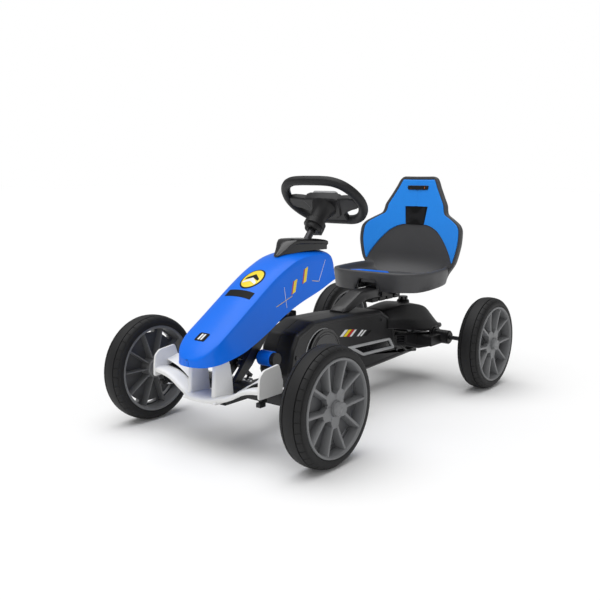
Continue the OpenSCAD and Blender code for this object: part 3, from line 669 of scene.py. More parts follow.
def make_cowl():
    """A black hood: a sloping prow, and side walls set in under a flat brow."""
    shape = Shape()
    half = [(161, 7), (178, 15), (200, 28), (225, 36), (260, 46), (290, 52), (299, 53)]
    under = [(161, 409), (178, 414), (200, 416), (225, 419.5), (260, 420.5), (299, 420.5)]
    over = [(161, 412), (168, 418), (178, 427), (188, 436.5), (197, 444), (204, 447.3), (215, 448),
            (240, 447), (290, 444.5), (299, 442)]
    ys = [161, 163, 167, 172, 178, 184, 190, 196, 204, 215, 230, 245, 260, 275, 290, 296, 299]
    rings = []
    for y in ys:
        w, z0, z1 = smooth_table(half, y), blend_table(under, y), smooth_table(over, y)
        drop = min(9, (z1 - z0) * 0.45)
        right = [(w - 3.5, z0), (w - 3.5, z1 - drop - 2), (w, z1 - drop), (w, z1 - drop * 0.35),
                 (w - 1.5, z1 - 1), (w - 4, z1), (w * 0.5, z1 + 1.2), (0, z1 + 1.6)]
        rings.append([(x, y, z) for x, z in right] + [(-x, y, z) for x, z in reversed(right[:-1])])
    loft(shape, rings)
    make_piece("column_cowl_hood", shape, BODY["column_cowl"], "gloss_black", ["column_cowl"],
               bevel=0.8, crease_angle=30)


make_fairing()
make_fairing_stickers()
make_cowl()


# ------------------------------------------------------------------ seat
BACK_FOOT = (789, 304)      # where the seat back starts, and how far it leans
BACK_LEAN = math.radians(9)
BACK_R = 465                # curve of the seat back across its width
PAN_MIDDLE = (0, 690)
BACK_WIDTH = [(-4, 128), (10, 134), (34, 152), (46, 159), (70, 166), (96, 171.2), (110, 172), (126, 171.6),
              (140, 169.5), (150, 164), (158, 156), (172, 134), (184, 113.5), (190, 109), (200, 106),
              (212, 103.5), (240, 88), (268, 73), (280, 67.5), (288, 63), (294, 57.5), (297, 52), (298, 46)]


def back_point(x, h, forward):
    """A point of the seat back: x across, h along its slope, and how far it stands forward."""
    y = math.sqrt(max(0, BACK_R ** 2 - x ** 2)) - BACK_R - forward
    foot = BACK_FOOT
    return (x, foot[0] + y * math.cos(BACK_LEAN) + h * math.sin(BACK_LEAN),
            foot[1] + h * math.cos(BACK_LEAN) - y * math.sin(BACK_LEAN))


def back_rim(e):
    """How far the rolled edge stands forward at a distance from the outline."""
    if e < 3:
        return -3.2 + 5.2 * math.sqrt(max(0, 1 - ((3 - e) / 3) ** 2))
    if e < 7.5:
        return 2.0
    return 2.0 - 2.6 * min(1, (e - 7.5) / 2)


def make_seat_back():
    """The grey back with its rolled edge, flowing forward into the pan at its foot."""
    heights = [-4, 0, 6, 12, 18, 24, 30, 36, 42, 50] + spaced(60, 280, 56)
    top = 298
    heights += [282, 284, 286, 288, 289.5, 291, 292.5, 294, 295, 296, 297, 297.6, 298]
    edges = [0, 0.3, 1, 2, 3, 5, 7.5, 8.4, 9.5, 12]
    front, rear = [], []
    for h in heights:
        w = smooth_table(BACK_WIDTH, h)
        xs = [w - e for e in edges] + [(w - 12) * f for f in (0.85, 0.7, 0.5, 0.36, 0.22, 0.1, 0)]
        xs = xs + [-x for x in reversed(xs[:-1])]
        slope = abs(smooth_table(BACK_WIDTH, h + 1) - smooth_table(BACK_WIDTH, h - 1)) / 2
        row_f, row_r = [], []
        for x in xs:
            e = min((w - abs(x)) / math.hypot(1, slope), top - h if h > 260 else 99)
            lift = back_rim(e)
            flow = 26 * max(0, (64 - h) / 64) ** 2 * max(0, 1 - (abs(x) / 150) ** 4)
            row_f.append(back_point(x, h, lift + flow))
            behind = -16 + (4.5 * (1 - math.sqrt(max(0, 1 - ((5 - e) / 5) ** 2))) if e < 5 else 0)
            row_r.append(back_point(x, h, behind))
        front.append(row_f)
        rear.append(row_r)
    shape = Shape()
    skin(shape, len(heights), front, rear)
    return shape


def pan_loop():
    """The pan's outline with its rounded corners."""
    w = 155
    half = [(0, 549), (60, 550), (98, 556), (w - 10, 592), (w, 645), (w - 2, 720), (w - 13, 770), (108, 806),
            (40, 811), (0, 812)]
    return densified(rounded_loop(both(half), 46, 6), 9)


def make_seat_pan():
    """The dished pan with its rolled lip and a skirt that hangs below it."""
    loop, rings = pan_loop(), []

    def ring(inset, z_at, keep=1.0):
        points = []
        for x, y in loop:
            reach = math.hypot(x - PAN_MIDDLE[0], y - PAN_MIDDLE[1])
            t = max(0, 1 - inset / reach) * keep
            points.append((PAN_MIDDLE[0] + (x - PAN_MIDDLE[0]) * t, PAN_MIDDLE[1] + (y - PAN_MIDDLE[1]) * t,
                           z_at(x, y)))
        rings.append(points)

    def notch(x, y, z):
        """The front skirt is cut away over the rail."""
        return 317 if abs(x) < 31 and y < 600 else z

    def skirt(y):
        return 283.5 + 11 * max(0, (y - 590) / 220)

    def lip(y):
        return 338 + 5 * max(0, (y - 640) / 170)

    def flat(z):
        return lambda x, y: z

    def below_lip(drop):
        return lambda x, y: lip(y) - drop

    def hem(lift):
        return lambda x, y: notch(x, y, skirt(y) + lift)

    # from the inside of the skirt round its hem, up over the lip, down into the dish and back underneath
    for inset, z_at in ((13, flat(306)), (12, hem(2)), (9.5, hem(0)), (7, hem(0)), (5.5, hem(2)),
                        (3, lambda x, y: max(304, notch(x, y, 304))), (1, below_lip(16)), (0, below_lip(8)),
                        (0.6, below_lip(4)), (2.6, below_lip(1)), (5.5, below_lip(0)), (9, below_lip(0.8)),
                        (12, below_lip(3.4)), (15, below_lip(8)), (19, flat(325)), (25, flat(319.5)),
                        (34, flat(315.6)), (48, flat(313.4)), (70, flat(312.5))):
        ring(inset, z_at)
    for inset, z, keep in ((70, 312.2, 0.5), (70, 312.2, 0.02), (70, 306, 0.02), (70, 306, 0.5),
                           (30, 306, 1)):
        ring(inset, flat(z), keep)
    shape = Shape()
    loft(shape, rings, capped=False)
    return shape


def make_seat():
    back, pan = make_seat_back(), make_seat_pan()
    # ribs beside the rail
    for side in (-1, 1):
        prism(pan, [(side * 31, 557), (side * 34, 557), (side * 34, 745), (side * 31, 745)], 287, 307,
              laid_flat)
    pan.add(back.verts, back.faces)
    make_piece("seat_shell_moulded", pan, BODY["seat_shell"], "grey_plastic", ["seat_shell"],
               crease_angle=50)
    # a blue block just behind the front lip, its top just showing over the lip
    blue_block = Shape()
    prism(blue_block, rounded_loop([(-66, 565), (66, 565), (44, 592), (-44, 592)], 6, 3), 316, 337.4,
          laid_flat)
    make_piece("seat_front_blue_block", blue_block, BODY["seat_shell"], "blue_plastic")


def make_window_mesh():
    """Black mesh in the window: crossing wires in front of a dark sheet."""
    shape = Shape()
    outline = rounded_loop([(-31, 152.5), (31, 152.5), (37.5, 208.5), (-37.5, 208.5)], 7, 4)
    prism(shape, outline, -1.0, 1.6, back_point)
    make_piece("seat_window_sheet", shape, BODY["seat_window"], "gloss_black", ["seat_window"],
               material=STICKER_BLACK, bevel=0.4)
    wires = Shape()
    pitch, half, limit = 5.2, 0.55, 31.5
    low, high = 155.5, 204.5
    for side in (-1, 1):
        rise = side * (high - low)
        for k in range(-12, 24):
            # the slanted wire, cut off at both sides of the window
            x = k * pitch
            ends = sorted(((-limit - x) / rise, (limit - x) / rise))
            start, end = max(0, ends[0]), min(1, ends[1])
            if end - start < 0.05:
                continue
            x0, x1 = x + rise * start, x + rise * end
            h0, h1 = low + (high - low) * start, low + (high - low) * end
            prism(wires, [(x0 - half, h0), (x0 + half, h0), (x1 + half, h1), (x1 - half, h1)], 1.6, 2.1,
                  back_point)
    make_piece("seat_window_wires", wires, BODY["seat_window"], "dark_steel", smooth=False)


def make_badge():
    """A plain dark badge with a row of small amber dashes."""
    shape = Shape()
    prism(shape, rounded_loop([(-34, 257), (34, 257), (36, 269.5), (-36, 269.5)], 4, 4), 0.5, 4.6, back_point)
    make_piece("seat_badge_plate", shape, BODY["seat_badge"], "gloss_black", ["seat_badge"],
               bevel=0.5)
    dashes = Shape()
    for k in range(5):
        u = -20 + 10 * k
        prism(dashes, [(u - 4, 260.5), (u + 3, 260.5), (u + 4, 266), (u - 3, 266)], 4.5, 5.2, back_point)
    make_piece("seat_badge_dashes", dashes, BODY["seat_badge"], "gloss_black",
               material=STICKER_AMBER, smooth=False)


PANEL_INNER = [(44, 144), (60, 137.5), (80, 126), (100, 112), (120, 95), (135, 79), (145, 62), (150, 50),
               (153, 37.5)]


def panel_inner(h):
    """Half width of the opening in the blue panel: an arch, then the window, then none."""
    if h <= 153:
        return smooth_table(PANEL_INNER, h)
    return 31 + (h - 153) * 6.5 / 54 if h < 207.3 else 0


def make_seat_panel():
    """The blue panel: two mirrored halves that meet above the window."""
    heights = [43, 43.6, 45, 47] + spaced(50, 144, 34) + [146, 148, 149.5, 151, 152, 153] + spaced(153.5, 204,
                                                                                                   16)
    heights += [205.5, 206.5, 207.2, 207.6, 208.4] + spaced(212, 284, 20) + [286, 287.4, 288]
    shape = Shape()
    for side in (-1, 1):
        front, rear = [], []
        for h in heights:
            outer, inner = smooth_table(BACK_WIDTH, h) - 10.5, panel_inner(h)
            inner = min(inner, outer - 1)
            steps = [0, 0.4, 1.2, 2.4, 4]
            wide = outer - inner
            xs = [inner + min(s, wide * 0.4) for s in steps]
            xs += [inner + wide * f for f in (0.45, 0.5, 0.55)] + [outer - min(s, wide * 0.4)
                                                                   for s in reversed(steps)]
            row_f, row_r = [], []
            for x in xs:
                e = min(outer - x, 99 if inner == 0 else x - inner, 288 - h, (h - 43) * 2)
                lift = 2.6 - 2.2 * (1 - min(1, e / 2.4)) ** 2
                row_f.append(back_point(side * x, h, lift))
                row_r.append(back_point(side * x, h, -1.2))
            front.append(row_f)
            rear.append(row_r)
        skin(shape, len(heights), front, rear)
    make_piece("seat_back_panel_moulded", shape, BODY["seat_back_panel"], "blue_plastic",
               ["seat_back_panel"], material=SEAT_BLUE_LIT, crease_angle=50)


STICKER_AMBER = plastic("sticker_amber", (0.85, 0.16, 0.01), 0.35)
# painted light: a lighter copy of the blue plastic for the seat panel, standing in for the light that falls
# on its front
SEAT_BLUE_LIT = plastic("seat_blue_painted_light", (0.022, 0.3, 1.0), 0.35, coat=0.05, shade=0.02, spec=0.25)
make_seat()
make_seat_panel()
make_window_mesh()
make_badge()


# ------------------------------------------------------------------ steering wheel
COLUMN_ANGLE = math.radians(48)
WHEEL_S = 538               # middle of the wheel along the column
GRIP_R = 12.2


def on_column(x, d, s):
    """Across the column, down its slope and along it, as a place on the kart."""
    c, n = math.cos(math.pi / 2 - COLUMN_ANGLE), math.sin(math.pi / 2 - COLUMN_ANGLE)
    return x, d * c + s * n, WHEEL_R - d * n + s * c


def closed_curve(points, per_span=10):
    """A smooth closed curve through a few points."""
    n, out = len(points), []
    for i in range(n):
        p0, p1, p2, p3 = (Vector(points[(i + k - 1) % n]) for k in range(4))
        for k in range(per_span):
            t = k / per_span
            out.append(0.5 * (2 * p1 + (p2 - p0) * t + (2 * p0 - 5 * p1 + 4 * p2 - p3) * t ** 2
                              + (3 * p1 - p0 - 3 * p2 + p3) * t ** 3))
    return out


def make_steering_wheel():
    body = BODY["steering_wheel"]
    half = [(0, -86.6), (34, -86.2), (62, -82.5), (86, -70), (103, -48), (111.6, -20), (110, 6), (99, 30),
            (80, 50), (56, 60.5), (28, 61.6), (0, 61.8)]
    path = closed_curve(both(half), 8)
    rings = []
    for i, p in enumerate(path):
        along = (path[(i + 1) % len(path)] - path[i - 1]).normalized()
        out = Vector((along[1], -along[0]))
        ring = []
        for k in range(24):
            a = 2 * math.pi * k / 24
            # flattened toward the driver, with a shallow groove where the two halves meet
            r = GRIP_R * (1 - 0.05 * math.sin(a) ** 2)
            if k in (0, 12):
                r -= 0.9
            q = p + out * r * math.cos(a)
            ring.append(on_column(q[0], q[1], WHEEL_S + r * math.sin(a)))
        rings.append(ring)
    shape = Shape()
    loft(shape, rings, capped=False)
    make_piece("steering_wheel_rim", shape, body, "grip_rubber", ["steering_wheel"],
               crease_angle=60)

    def place(u, v, w):
        return on_column(u, v, WHEEL_S + w)

    wings = Shape()
    wing = [(0, -27), (46, -25), (66, -28), (86, -29), (100, -27), (106, -14), (106, 2), (94, 9), (76, 15),
            (58, 24), (47, 33), (45, 44), (46, 57), (0, 59)]
    prism(wings, both(wing), -9, 7, place)
    make_piece("steering_wheel_spokes", wings, body, "black_plastic", bevel=3.2, crease_angle=25)
    centre = Shape()
    prism(centre, both([(0, -31), (40, -30), (55, -24), (47, 6), (36, 34), (20, 44), (0, 45)]), -12.5, 12,
          place)
    make_piece("steering_wheel_centre", centre, body, "black_plastic", bevel=3.5, crease_angle=25)
    # cover behind the wheel, running down to the hub
    boss = Shape()
    rows = []
    for s, r in ((528, 34), (523, 32.5), (515, 28), (505, 24.5), (492, 22.5), (478, 21.5), (476.5, 26.5),
                 (474, 27), (464, 27), (461.5, 26), (460.5, 21), (452, 20.5), (449, 19), (449, 9.3),
                 (528, 9.3)):
        rows.append([on_column(u, v, s) for u, v in disc(0, 0, r, r, 48)])
    loft(boss, rows, capped=False)
    lug = Shape()
    prism(lug, rounded_loop([(-9, 14), (9, 14), (9, 30), (-9, 30)], 6, 4), 462 - WHEEL_S, 480 - WHEEL_S,
          place)
    bolt = Shape()
    lathe(bolt, [(-13, 0.02), (-13, 4.2), (-12, 5), (-10, 5), (-9.5, 3), (9.5, 3), (10, 5), (12.5, 5),
                 (13.5, 4), (13.5, 0.02)],
          20)
    boss.add(lug.verts, lug.faces)
    made = bolt.moved(lambda x, y, z: on_column(x, 22 + y, 471 + z))
    make_piece("steering_hub_cover", boss, body, "black_plastic", ["steering_hub"], bevel=0.6)
    make_piece("steering_hub_bolt", made, body, "dark_steel")
    pad = Shape()
    prism(pad, rounded_loop([(-37, -27), (37, -27), (40, -8), (26, 34), (-26, 34), (-40, -8)], 9, 5), 10,
          20.5, place)
    make_piece("steering_pad_cap", pad, BODY["steering_pad"], "pad_grey", ["steering_pad"],
               bevel=3, crease_angle=25)
    mark = Shape()
    prism(mark, disc(0, 2, 13, 13, 40), 20.5, 21.4, place)
    make_piece("steering_pad_roundel", mark, BODY["steering_pad"], "gloss_black", bevel=0.3)


# ------------------------------------------------------------------ front wing
WING_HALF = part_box("wing_endplates")[1][0] * 1000 - 3
WING_RISE = [(0, 117), (36, 117), (52, 119), (66, 122.5), (84, 130), (100, 139), (118, 146.5), (136, 150.5),
             (157, 153)]


def wing_section(x, lead, trail, thick, climb):
    """A blade section at x: a round leading edge, a flat top and a thin trailing edge."""
    base = smooth_table(WING_RISE, abs(x))
    ring = []
    for f, up in ((0, 0.5), (0.015, 0.85), (0.06, 1.08), (0.2, 1.12), (0.45, 1.0), (0.7, 0.8), (0.94, 0.52),
                  (1, 0.42), (1, 0.3), (0.94, 0.2), (0.6, 0.1), (0.3, 0.02), (0.1, 0), (0.03, 0.1)):
        ring.append((x, lead + (trail - lead) * f, base + thick * up - thick * 0.3 + climb * f))
    return ring


def make_wing():
    body = BODY["front_wing"]
    shape = Shape()
    xs = spaced(-WING_HALF, WING_HALF, 81)
    nose = [(0, -112), (30, -108), (48, -98), (64, -90), (90, -86), (157, -85)]
    loft(shape, [wing_section(x, smooth_table(nose, abs(x)), -42, 10, 5) for x in xs])
    # pillars that carry the nose, leaning back as they rise
    for side in (-1, 1):
        rings = []
        for z, y0, y1, w in ((113, -97, -36, 7), (117, -96, -35, 6.4), (124, -95, -33, 6),
                             (160, -92, -36, 5.8), (190, -90, -42, 5.8), (199, -89, -46, 5.8),
                             (206, -84, -48, 5.8)):
            plan = rounded_loop([(side * 36 - w, y0), (side * 36 + w, y0), (side * 36 + w, y1),
                                 (side * 36 - w, y1)], 4, 3)
            rings.append([(x, y, z) for x, y in plan])
        loft(shape, rings)
    # floor between the pillars
    loft(shape, [[(x, y, 113 + (y + 100) * 0.02 + t) for y, t in
                          ((-100, 0), (-102, 3), (-99, 6), (-60, 6), (-24, 6), (-24, 0))]
                 for x in spaced(-50, 50, 11)])
    make_piece("front_wing_main", shape, body, "white_plastic", ["front_wing"], crease_angle=45)
    flap = Shape()
    for side in (-1, 1):
        rings = []
        for x in spaced(64, WING_HALF, 28):
            rise = smooth_table(WING_RISE, x) + 8 + 12 * (x - 64) / 93
            rings.append([(side * x, y, rise + z) for y, z in
                          ((-48, 1.5), (-47, 3), (-44, 4), (-30, 6.5), (-16, 10), (-14, 10.5), (-14, 9),
                           (-30, 3.5), (-44, 0.5), (-47, 0.3))])
        loft(flap, rings)
    make_piece("front_wing_flap", flap, body, "white_plastic", crease_angle=45)
    # painted shade: a black filler under the flap, standing in for the shade in the slit between blade and
    # flap; it is also the strip that ties the blade to the beam
    slit_shade = Shape()
    for side in (-1, 1):
        rings = []
        for x in spaced(60, WING_HALF - 1, 24):
            rise = smooth_table(WING_RISE, x)
            rings.append([(side * x, y, rise + z) for y, z in ((-44, 2), (-44, 6.5), (-22, 14), (-22, 2))])
        loft(slit_shade, rings)
    make_piece("front_wing_slit_shade", slit_shade, body, "black_plastic")
    plates = Shape()
    outline = rounded_loop([(-87, 141), (-86, 168), (-83, 190), (-70, 201.5), (-22, 207), (-15, 190),
                            (-12, 176), (-8, 168), (-10, 141)], 6, 5)
    for side in (-1, 1):
        prism(plates, outline, side * (WING_HALF - 2.6), side * (WING_HALF + 2.6))
    make_piece("wing_endplates_moulded", plates, BODY["wing_endplates"], "white_plastic",
               ["wing_endplates"], bevel=1.2)
    clips = Shape()
    for side in (-1, 1):
        prism(clips, rounded_loop([(-70, 128), (-52, 128), (-52, 148), (-70, 148)], 3, 3),
              side * (WING_HALF - 14),
              side * (WING_HALF - 6))
        prism(clips, rounded_loop([(-76, 121), (-58, 121), (-58, 131), (-76, 131)], 2, 3),
              side * (WING_HALF - 16),
              side * (WING_HALF - 4))
    make_piece("wing_clips", clips, body, "black_plastic", bevel=0.6)


make_steering_wheel()
make_wing()


# ------------------------------------------------------------------ body panels
PANEL_X = 50                # outer face of the body covers
DISC_MIDDLE = (284, 152)    # middle of the crank discs' rings
FACE_X, SLOT_X = 48.5, 34   # the recessed face of the covers, and the bottom of their slot


def inset_corners(corners, inset):
    """Corners of an outline whose sides are all moved inward."""
    n = len(corners)
    area = sum(corners[i - 1][0] * corners[i][1] - corners[i][0] * corners[i - 1][1] for i in range(n))
    turn = inset if area > 0 else -inset
    out = []
    for i in range(n):
        p = Vector(corners[i])
        a, b = (p - Vector(corners[i - 1])).normalized(), (Vector(corners[(i + 1) % n]) - p).normalized()
        na, nb = Vector((-a[1], a[0])), Vector((-b[1], b[0]))
        out.append(tuple(p + (na + nb) / (1 + na.dot(nb)) * turn))
    return out


def moulded(shape, corners, radius, profile, place, ring=False):
    """Outline loops at the (inset, outward) steps of a profile: a capped solid, or a closed ring."""
    loops = [[place(u, v, w) for u, v in rounded_loop(inset_corners(corners, inset), max(radius - inset, 1.2),
                                                      4)]
             for inset, w in profile]
    loft(shape, loops, capped=not ring)


def outward(side):
    """Places (along the kart, up, outward) on one side of the kart."""
    def place(u, v, w):
        return side * w, u, v
    return place


COVER = [(151, 128), (165, 190), (185, 222), (249, 246), (362, 244), (555, 233), (619, 201), (636, 150),
         (655, 132), (700, 104), (755, 96), (772, 91), (755, 84), (480, 75), (215, 75), (172, 88)]
SLOT = [(402, 154), (603, 146), (625, 116), (469, 121)]


def make_cover(side, name):
    """A half shell with a bevelled edge band, a recessed side face and the framed slot."""
    place = outward(side)
    profile = [(0, 0.5), (0, 40), (0.6, 42.5), (5.5, 48.6), (6.5, 49.6), (7.8, PANEL_X), (11.5, PANEL_X),
               (12.4, 49.7), (13.4, FACE_X)]
    loops = [rounded_loop(inset_corners(COVER, inset), max(8 - inset, 1.2), 4) for inset, w in profile]
    n = len(loops[0])
    hole = rounded_loop(SLOT, 6, 4)
    m = len(hole)
    verts = [place(u, v, w) for loop, (inset, w) in zip(loops, profile) for u, v in loop]
    faces = grid_faces(len(loops), n, False, True) + [tuple(range(n))]
    first = (len(loops) - 1) * n
    rim = len(verts)
    verts += [place(u, v, x) for x in (FACE_X, SLOT_X) for u, v in hole]
    faces += [(rim + i, rim + (i + 1) % m, rim + m + (i + 1) % m, rim + m + i) for i in range(m)]
    faces.append(tuple(rim + m + i for i in range(m)))
    # the recessed face, in two pieces that meet at the two ends of the slot
    h0 = min(range(m), key=lambda i: hole[i][0])
    h1 = max(range(m), key=lambda i: hole[i][0])
    o0 = min(range(n), key=lambda i: math.dist(loops[-1][i], (163, 140)))
    o1 = min(range(n), key=lambda i: math.dist(loops[-1][i], (625, 150)))

    def walk(start, end, count, base):
        steps = [start]
        while steps[-1] != end:
            steps.append((steps[-1] + 1) % count)
        return [base + s for s in steps]

    faces.append(tuple(walk(o0, o1, n, first) + walk(h0, h1, m, rim)[::-1]))
    faces.append(tuple(walk(o1, o0, n, first) + walk(h1, h0, m, rim)[::-1]))
    shape = Shape()
    shape.add(verts, faces)
    make_piece(name + "_moulded", shape, BODY[name], "black_plastic", [name],
               material=COVER_BLACK, crease_angle=28)


def make_cover_trim():
    """Silver slot frames, the thin ring round each crank disc and the slanted stripes."""
    frames, rings, dark = Shape(), Shape(), Shape()
    for side in (-1, 1):
        place = outward(side)
        moulded(frames, SLOT, 6, [(-2.2, 47.5), (-2.2, 49.4), (-1.2, 50.6), (4.2, 50.6), (5.4, 49.6),
                                  (5.4, 44)],
                place, ring=True)
        moulded(dark, SLOT, 6, [(5, 40), (5, 45.5)], place)
        loft(rings, [[place(u, v, w) for u, v in disc(*DISC_MIDDLE, r, r, 96)]
                     for r, w in ((68.9, 48.3), (69.1, 49.8), (70.9, 49.8), (71.1, 48.3))], capped=False)
    body = BODY["slot_trims"]
    make_piece("slot_trim_frames", frames, body, "trim_silver", ["slot_trims"], crease_angle=40)
    make_piece("slot_dark_grille", dark, body, "gloss_black", crease_angle=40)
    make_piece("crank_disc_rings", rings, body, "trim_silver", crease_angle=40)
    bars = [(359, 13, 15, STICKER_WHITE), (374.5, 14, 15, STICKER_YELLOW), (390.5, 11, 15, STICKER_RED),
            (403.5, 9, 15, STICKER_WHITE), (437, 9, 14, STICKER_WHITE), (452, 7, 13, STICKER_WHITE),
            (466, 20, 11, STICKER_BLACK)]
    for k, (y, wide, tall, material) in enumerate(bars):
        shape = Shape()
        for side in (-1, 1):
            low = 189 - (y - 359) * 0.14
            bar = [(y, low), (y + 24, low + tall), (y + 24 + wide, low + tall - 1.5), (y + wide, low - 1.5)]
            prism(shape, bar, 48.3, 48.8, outward(side))
        make_piece(f"cover_stripe_{k}", shape, "chassis", "gloss_black", material=material,
                   smooth=False)


def skirt(side):
    """Places on the side of the box under the hood, which grows wider toward the axle."""
    def place(u, v, w):
        return side * (50 + max(0, u - 632) * 0.22 + w), u, v
    return place


def make_shroud():
    """The rear hood: a rounded ridge over side skirts, with a box and louvres under each skirt."""
    sections = [(588, 53, 176, 52, 199, 34, 221), (592, 54, 175, 53, 201, 35, 224),
                (632, 60, 168, 57, 197, 37, 228), (690, 74, 158, 68, 191, 42, 231),
                (740, 86, 149, 74, 184, 47, 228), (790, 93, 147, 80, 173, 51, 216),
                (817, 93, 149, 80, 166, 50, 201), (836, 88, 150, 74, 161, 44, 188),
                (848, 78, 152, 66, 158, 36, 176)]
    rings = []
    for y in spaced(588, 848, 40):
        foot_x, foot_z, mid_x, mid_z, top_x, top_z = (
            smooth_table([(row[0], row[k]) for row in sections], y) for k in range(1, 7))
        half = [(0, foot_z + 2), (foot_x - 8, foot_z + 2, 1), (foot_x - 3, foot_z, 1.5),
                (foot_x, foot_z + 2, 2), (foot_x - 0.3, foot_z + 7, 2), (mid_x, mid_z, 5),
                (top_x, top_z - 1, 5), (0, top_z + 1.5)]
        path = [(0, half[0][1])]
        for before, here, after in zip(half, half[1:], half[2:]):
            path += rounded_corner(before[:2], here[:2], after[:2], here[2], 4)
        path.append((0, half[-1][1]))
        rings.append([(x, y, z) for x, z in path] + [(-x, y, z) for x, z in reversed(path[1:-1])])
    shape = Shape()
    loft(shape, rings)
    for side in (-1, 1):
        box = [(634, 152), (672, 150), (790, 140), (796, 96), (731, 97), (673, 113), (634, 118)]
        moulded(shape, box, 5, [(0, -24), (0, -4), (0.8, -1.5), (2.5, 0)], skirt(side))
        door = [(674, 146), (764, 137.5), (770, 101), (673, 121)]
        moulded(shape, door, 4, [(0, -2), (0, 1.2), (0.8, 2.2)], skirt(side))
    make_piece("rear_shroud_hood", shape, BODY["rear_shroud"], "black_plastic", ["rear_shroud"],
               material=COVER_BLACK, crease_angle=26)
    # the pad round the stem of the selector knob
    pad = disc(0, WHEELBASE - 37, 17, 17, 32)
    collar = Shape()
    moulded(collar, pad, 1, [(-2, 222), (-2, 230), (0, 233.5), (4, 236), (10.5, 236.4), (10.5, 222)],
            laid_flat, ring=True)
    make_piece("selector_pad", collar, BODY["rear_shroud"], "black_plastic",
               material=COVER_BLACK, crease_angle=40)
    slots = Shape()
    for side in (-1, 1):
        for k in range(3):
            low = 129 + 7 * k
            prism(slots, [(638, low - 1), (667, low - 3.4), (667, low + 0.6), (638, low + 3)], -1, 0.7,
                  skirt(side))
    make_piece("shroud_louvres", slots, BODY["rear_shroud"], "gloss_black", smooth=False)
    flange = Shape()
    for side in (-1, 1):
        for low, high, r in ((84, 92, 31), (92, 97, 26)):
            prism(flange, disc(790, 130, r, r, 48), low, high, outward(side))
    make_piece("axle_housing_flanges", flange, BODY["rear_carrier"], "frame_steel", bevel=1.2)


def make_neck():
    """The seat arm: a box section with well rounded edges."""
    shape = Shape()
    corners = [(404, 239), (420, 254), (498, 290), (730, 290), (730, 262), (522, 262), (442, 239)]
    profile = [(6, -22), (2.2, -21), (0.6, -19), (0, -16.5), (0, 16.5), (0.6, 19), (2.2, 21), (6, 22)]
    moulded(shape, corners, 10, profile, outward(1))
    # the upright tongue that is welded to the spine
    prism(shape, [(408, 214), (432, 214), (432, 246), (408, 246)], -20, 20, outward(1))
    make_piece("seat_neck_arm", shape, BODY["seat_neck"], "frame_steel", ["seat_neck"],
               material=NECK_GREY, crease_angle=35)


COVER_BLACK = plastic("satin_cover_black", (0.013, 0.013, 0.014), 0.34, grain=0.2, spec=0.4)
NECK_GREY = plastic("neck_powder_coat", (0.022, 0.022, 0.023), 0.3, grain=0.12, grain_scale=700, spec=0.5)
make_cover(1, "body_cover_left")
make_cover(-1, "body_cover_right")
make_cover_trim()
make_shroud()
make_neck()
for node, edge_width in (("crank_discs", 0.9), ("panel_screws", 0.5), ("rail_blocks", 1.2),
                         ("pedal_left", 1.0), ("pedal_right", 1.0), ("crank_arms", 1.0),
                         ("footrest_bar", 0.8), ("footrest_sleeves", 1.5), ("footrest_caps", 1.0),
                         ("seat_slider", 0.8), ("seat_bolts", 0.5), ("seat_lock_knob", 1.2),
                         ("selector_knob", 1.2), ("knuckle_left", 0.8), ("knuckle_right", 0.8),
                         ("tie_rod_left", 0.5), ("tie_rod_right", 0.5), ("front_beam", 1.0),
                         ("rear_carrier", 1.0), ("spine_tube", 1.2), ("steering_mast", 0.8),
                         ("steering_hub", 0.5)):
    finished(node, edge_width)
for node, slot in (("steering_column", "dark_steel"), ("rear_axle", "dark_steel"),
                   ("axle_bushes", "black_plastic")):
    finished(node, 0.4, MATERIALS[slot])


# ------------------------------------------------------------------ studio

def make_camera():
    cam = bpy.data.objects.new("camera", bpy.data.cameras.new("camera"))
    bpy.context.collection.objects.link(cam)
    cam.data.sensor_width = 36
    cam.data.lens = 47.04
    cam.data.clip_end = 60
    azimuth, elevation, roll = math.radians(38.277), math.radians(9.049), math.radians(0.16)
    back = Vector((math.sin(azimuth) * math.cos(elevation),
                   -math.cos(azimuth) * math.cos(elevation), math.sin(elevation)))
    cam.location = at(1196.41, -1261.76, 600.97)
    cam.rotation_mode = "QUATERNION"
    spin = Matrix.Rotation(roll, 4, "Z").to_quaternion()
    cam.rotation_quaternion = (-back).to_track_quat("-Z", "Y") @ spin
    bpy.context.scene.camera = cam


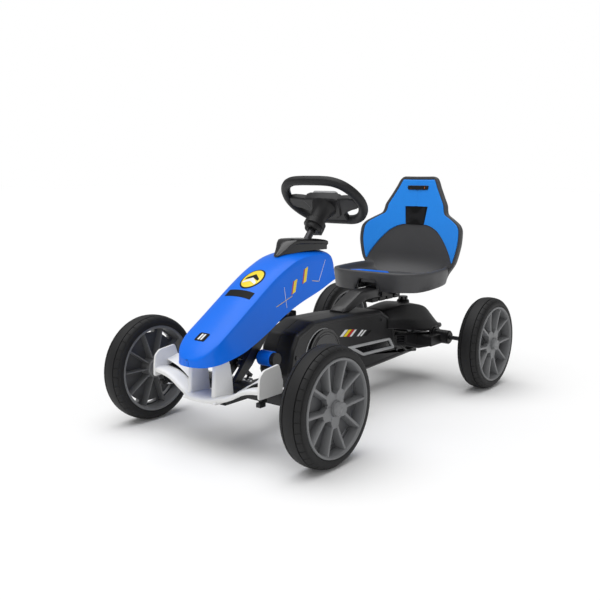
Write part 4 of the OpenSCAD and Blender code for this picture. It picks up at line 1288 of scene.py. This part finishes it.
def area_light(name, place, target, size, power):
    light = bpy.data.objects.new(name, bpy.data.lights.new(name, "AREA"))
    light.data.shape = "RECTANGLE"
    light.data.size, light.data.size_y = size
    light.data.energy = power
    light.location = place
    aim = Vector(target) - Vector(place)
    light.rotation_euler = aim.to_track_quat("-Z", "Y").to_euler()
    bpy.context.collection.objects.link(light)


def make_studio():
    """White surroundings that light the object gently, an overhead soft sun and a softbox."""
    world = bpy.data.worlds.new("studio")
    world.use_nodes = True
    nodes, links = world.node_tree.nodes, world.node_tree.links
    nodes["Background"].inputs["Color"].default_value = (1, 1, 1, 1)
    path = nodes.new("ShaderNodeLightPath")
    level = nodes.new("ShaderNodeMapRange")
    level.inputs["To Min"].default_value = 0.36
    level.inputs["To Max"].default_value = 1.0
    links.new(path.outputs["Is Camera Ray"], level.inputs["Value"])
    links.new(level.outputs["Result"], nodes["Background"].inputs["Strength"])
    bpy.context.scene.world = world
    bpy.context.scene.view_settings.view_transform = "Standard"
    sun = bpy.data.objects.new("soft_sun", bpy.data.lights.new("soft_sun", "SUN"))
    sun.data.energy = 2.35
    sun.data.angle = math.radians(70)
    sun.rotation_euler = Vector((0.12, 0.14, -1)).to_track_quat("-Z", "Y").to_euler()
    bpy.context.collection.objects.link(sun)
    floor_mesh = bpy.data.meshes.new("studio_floor")
    half = 30               # metres
    floor_mesh.from_pydata([(-half, -half, 0), (half, -half, 0), (half, half, 0), (-half, half, 0)],
                           [], [(0, 1, 2, 3)])
    floor = bpy.data.objects.new("studio_floor", floor_mesh)
    bpy.context.collection.objects.link(floor)
    m, nodes, links = new_material("studio_paper")
    paper = nodes["Principled BSDF"]
    paper.inputs["Base Color"].default_value = (0.9, 0.9, 0.9, 1)
    paper.inputs["Roughness"].default_value = 0.9
    paper.inputs["Specular IOR Level"].default_value = 0.0
    paper.inputs["Emission Color"].default_value = (1, 1, 1, 1)
    paper.inputs["Emission Strength"].default_value = 0.02
    floor_mesh.materials.append(m)
    area_light("softbox", (1.9, -2.3, 1.9), (0, 0, 0.25), (1.8, 1.4), 6)


make_camera()
make_studio()
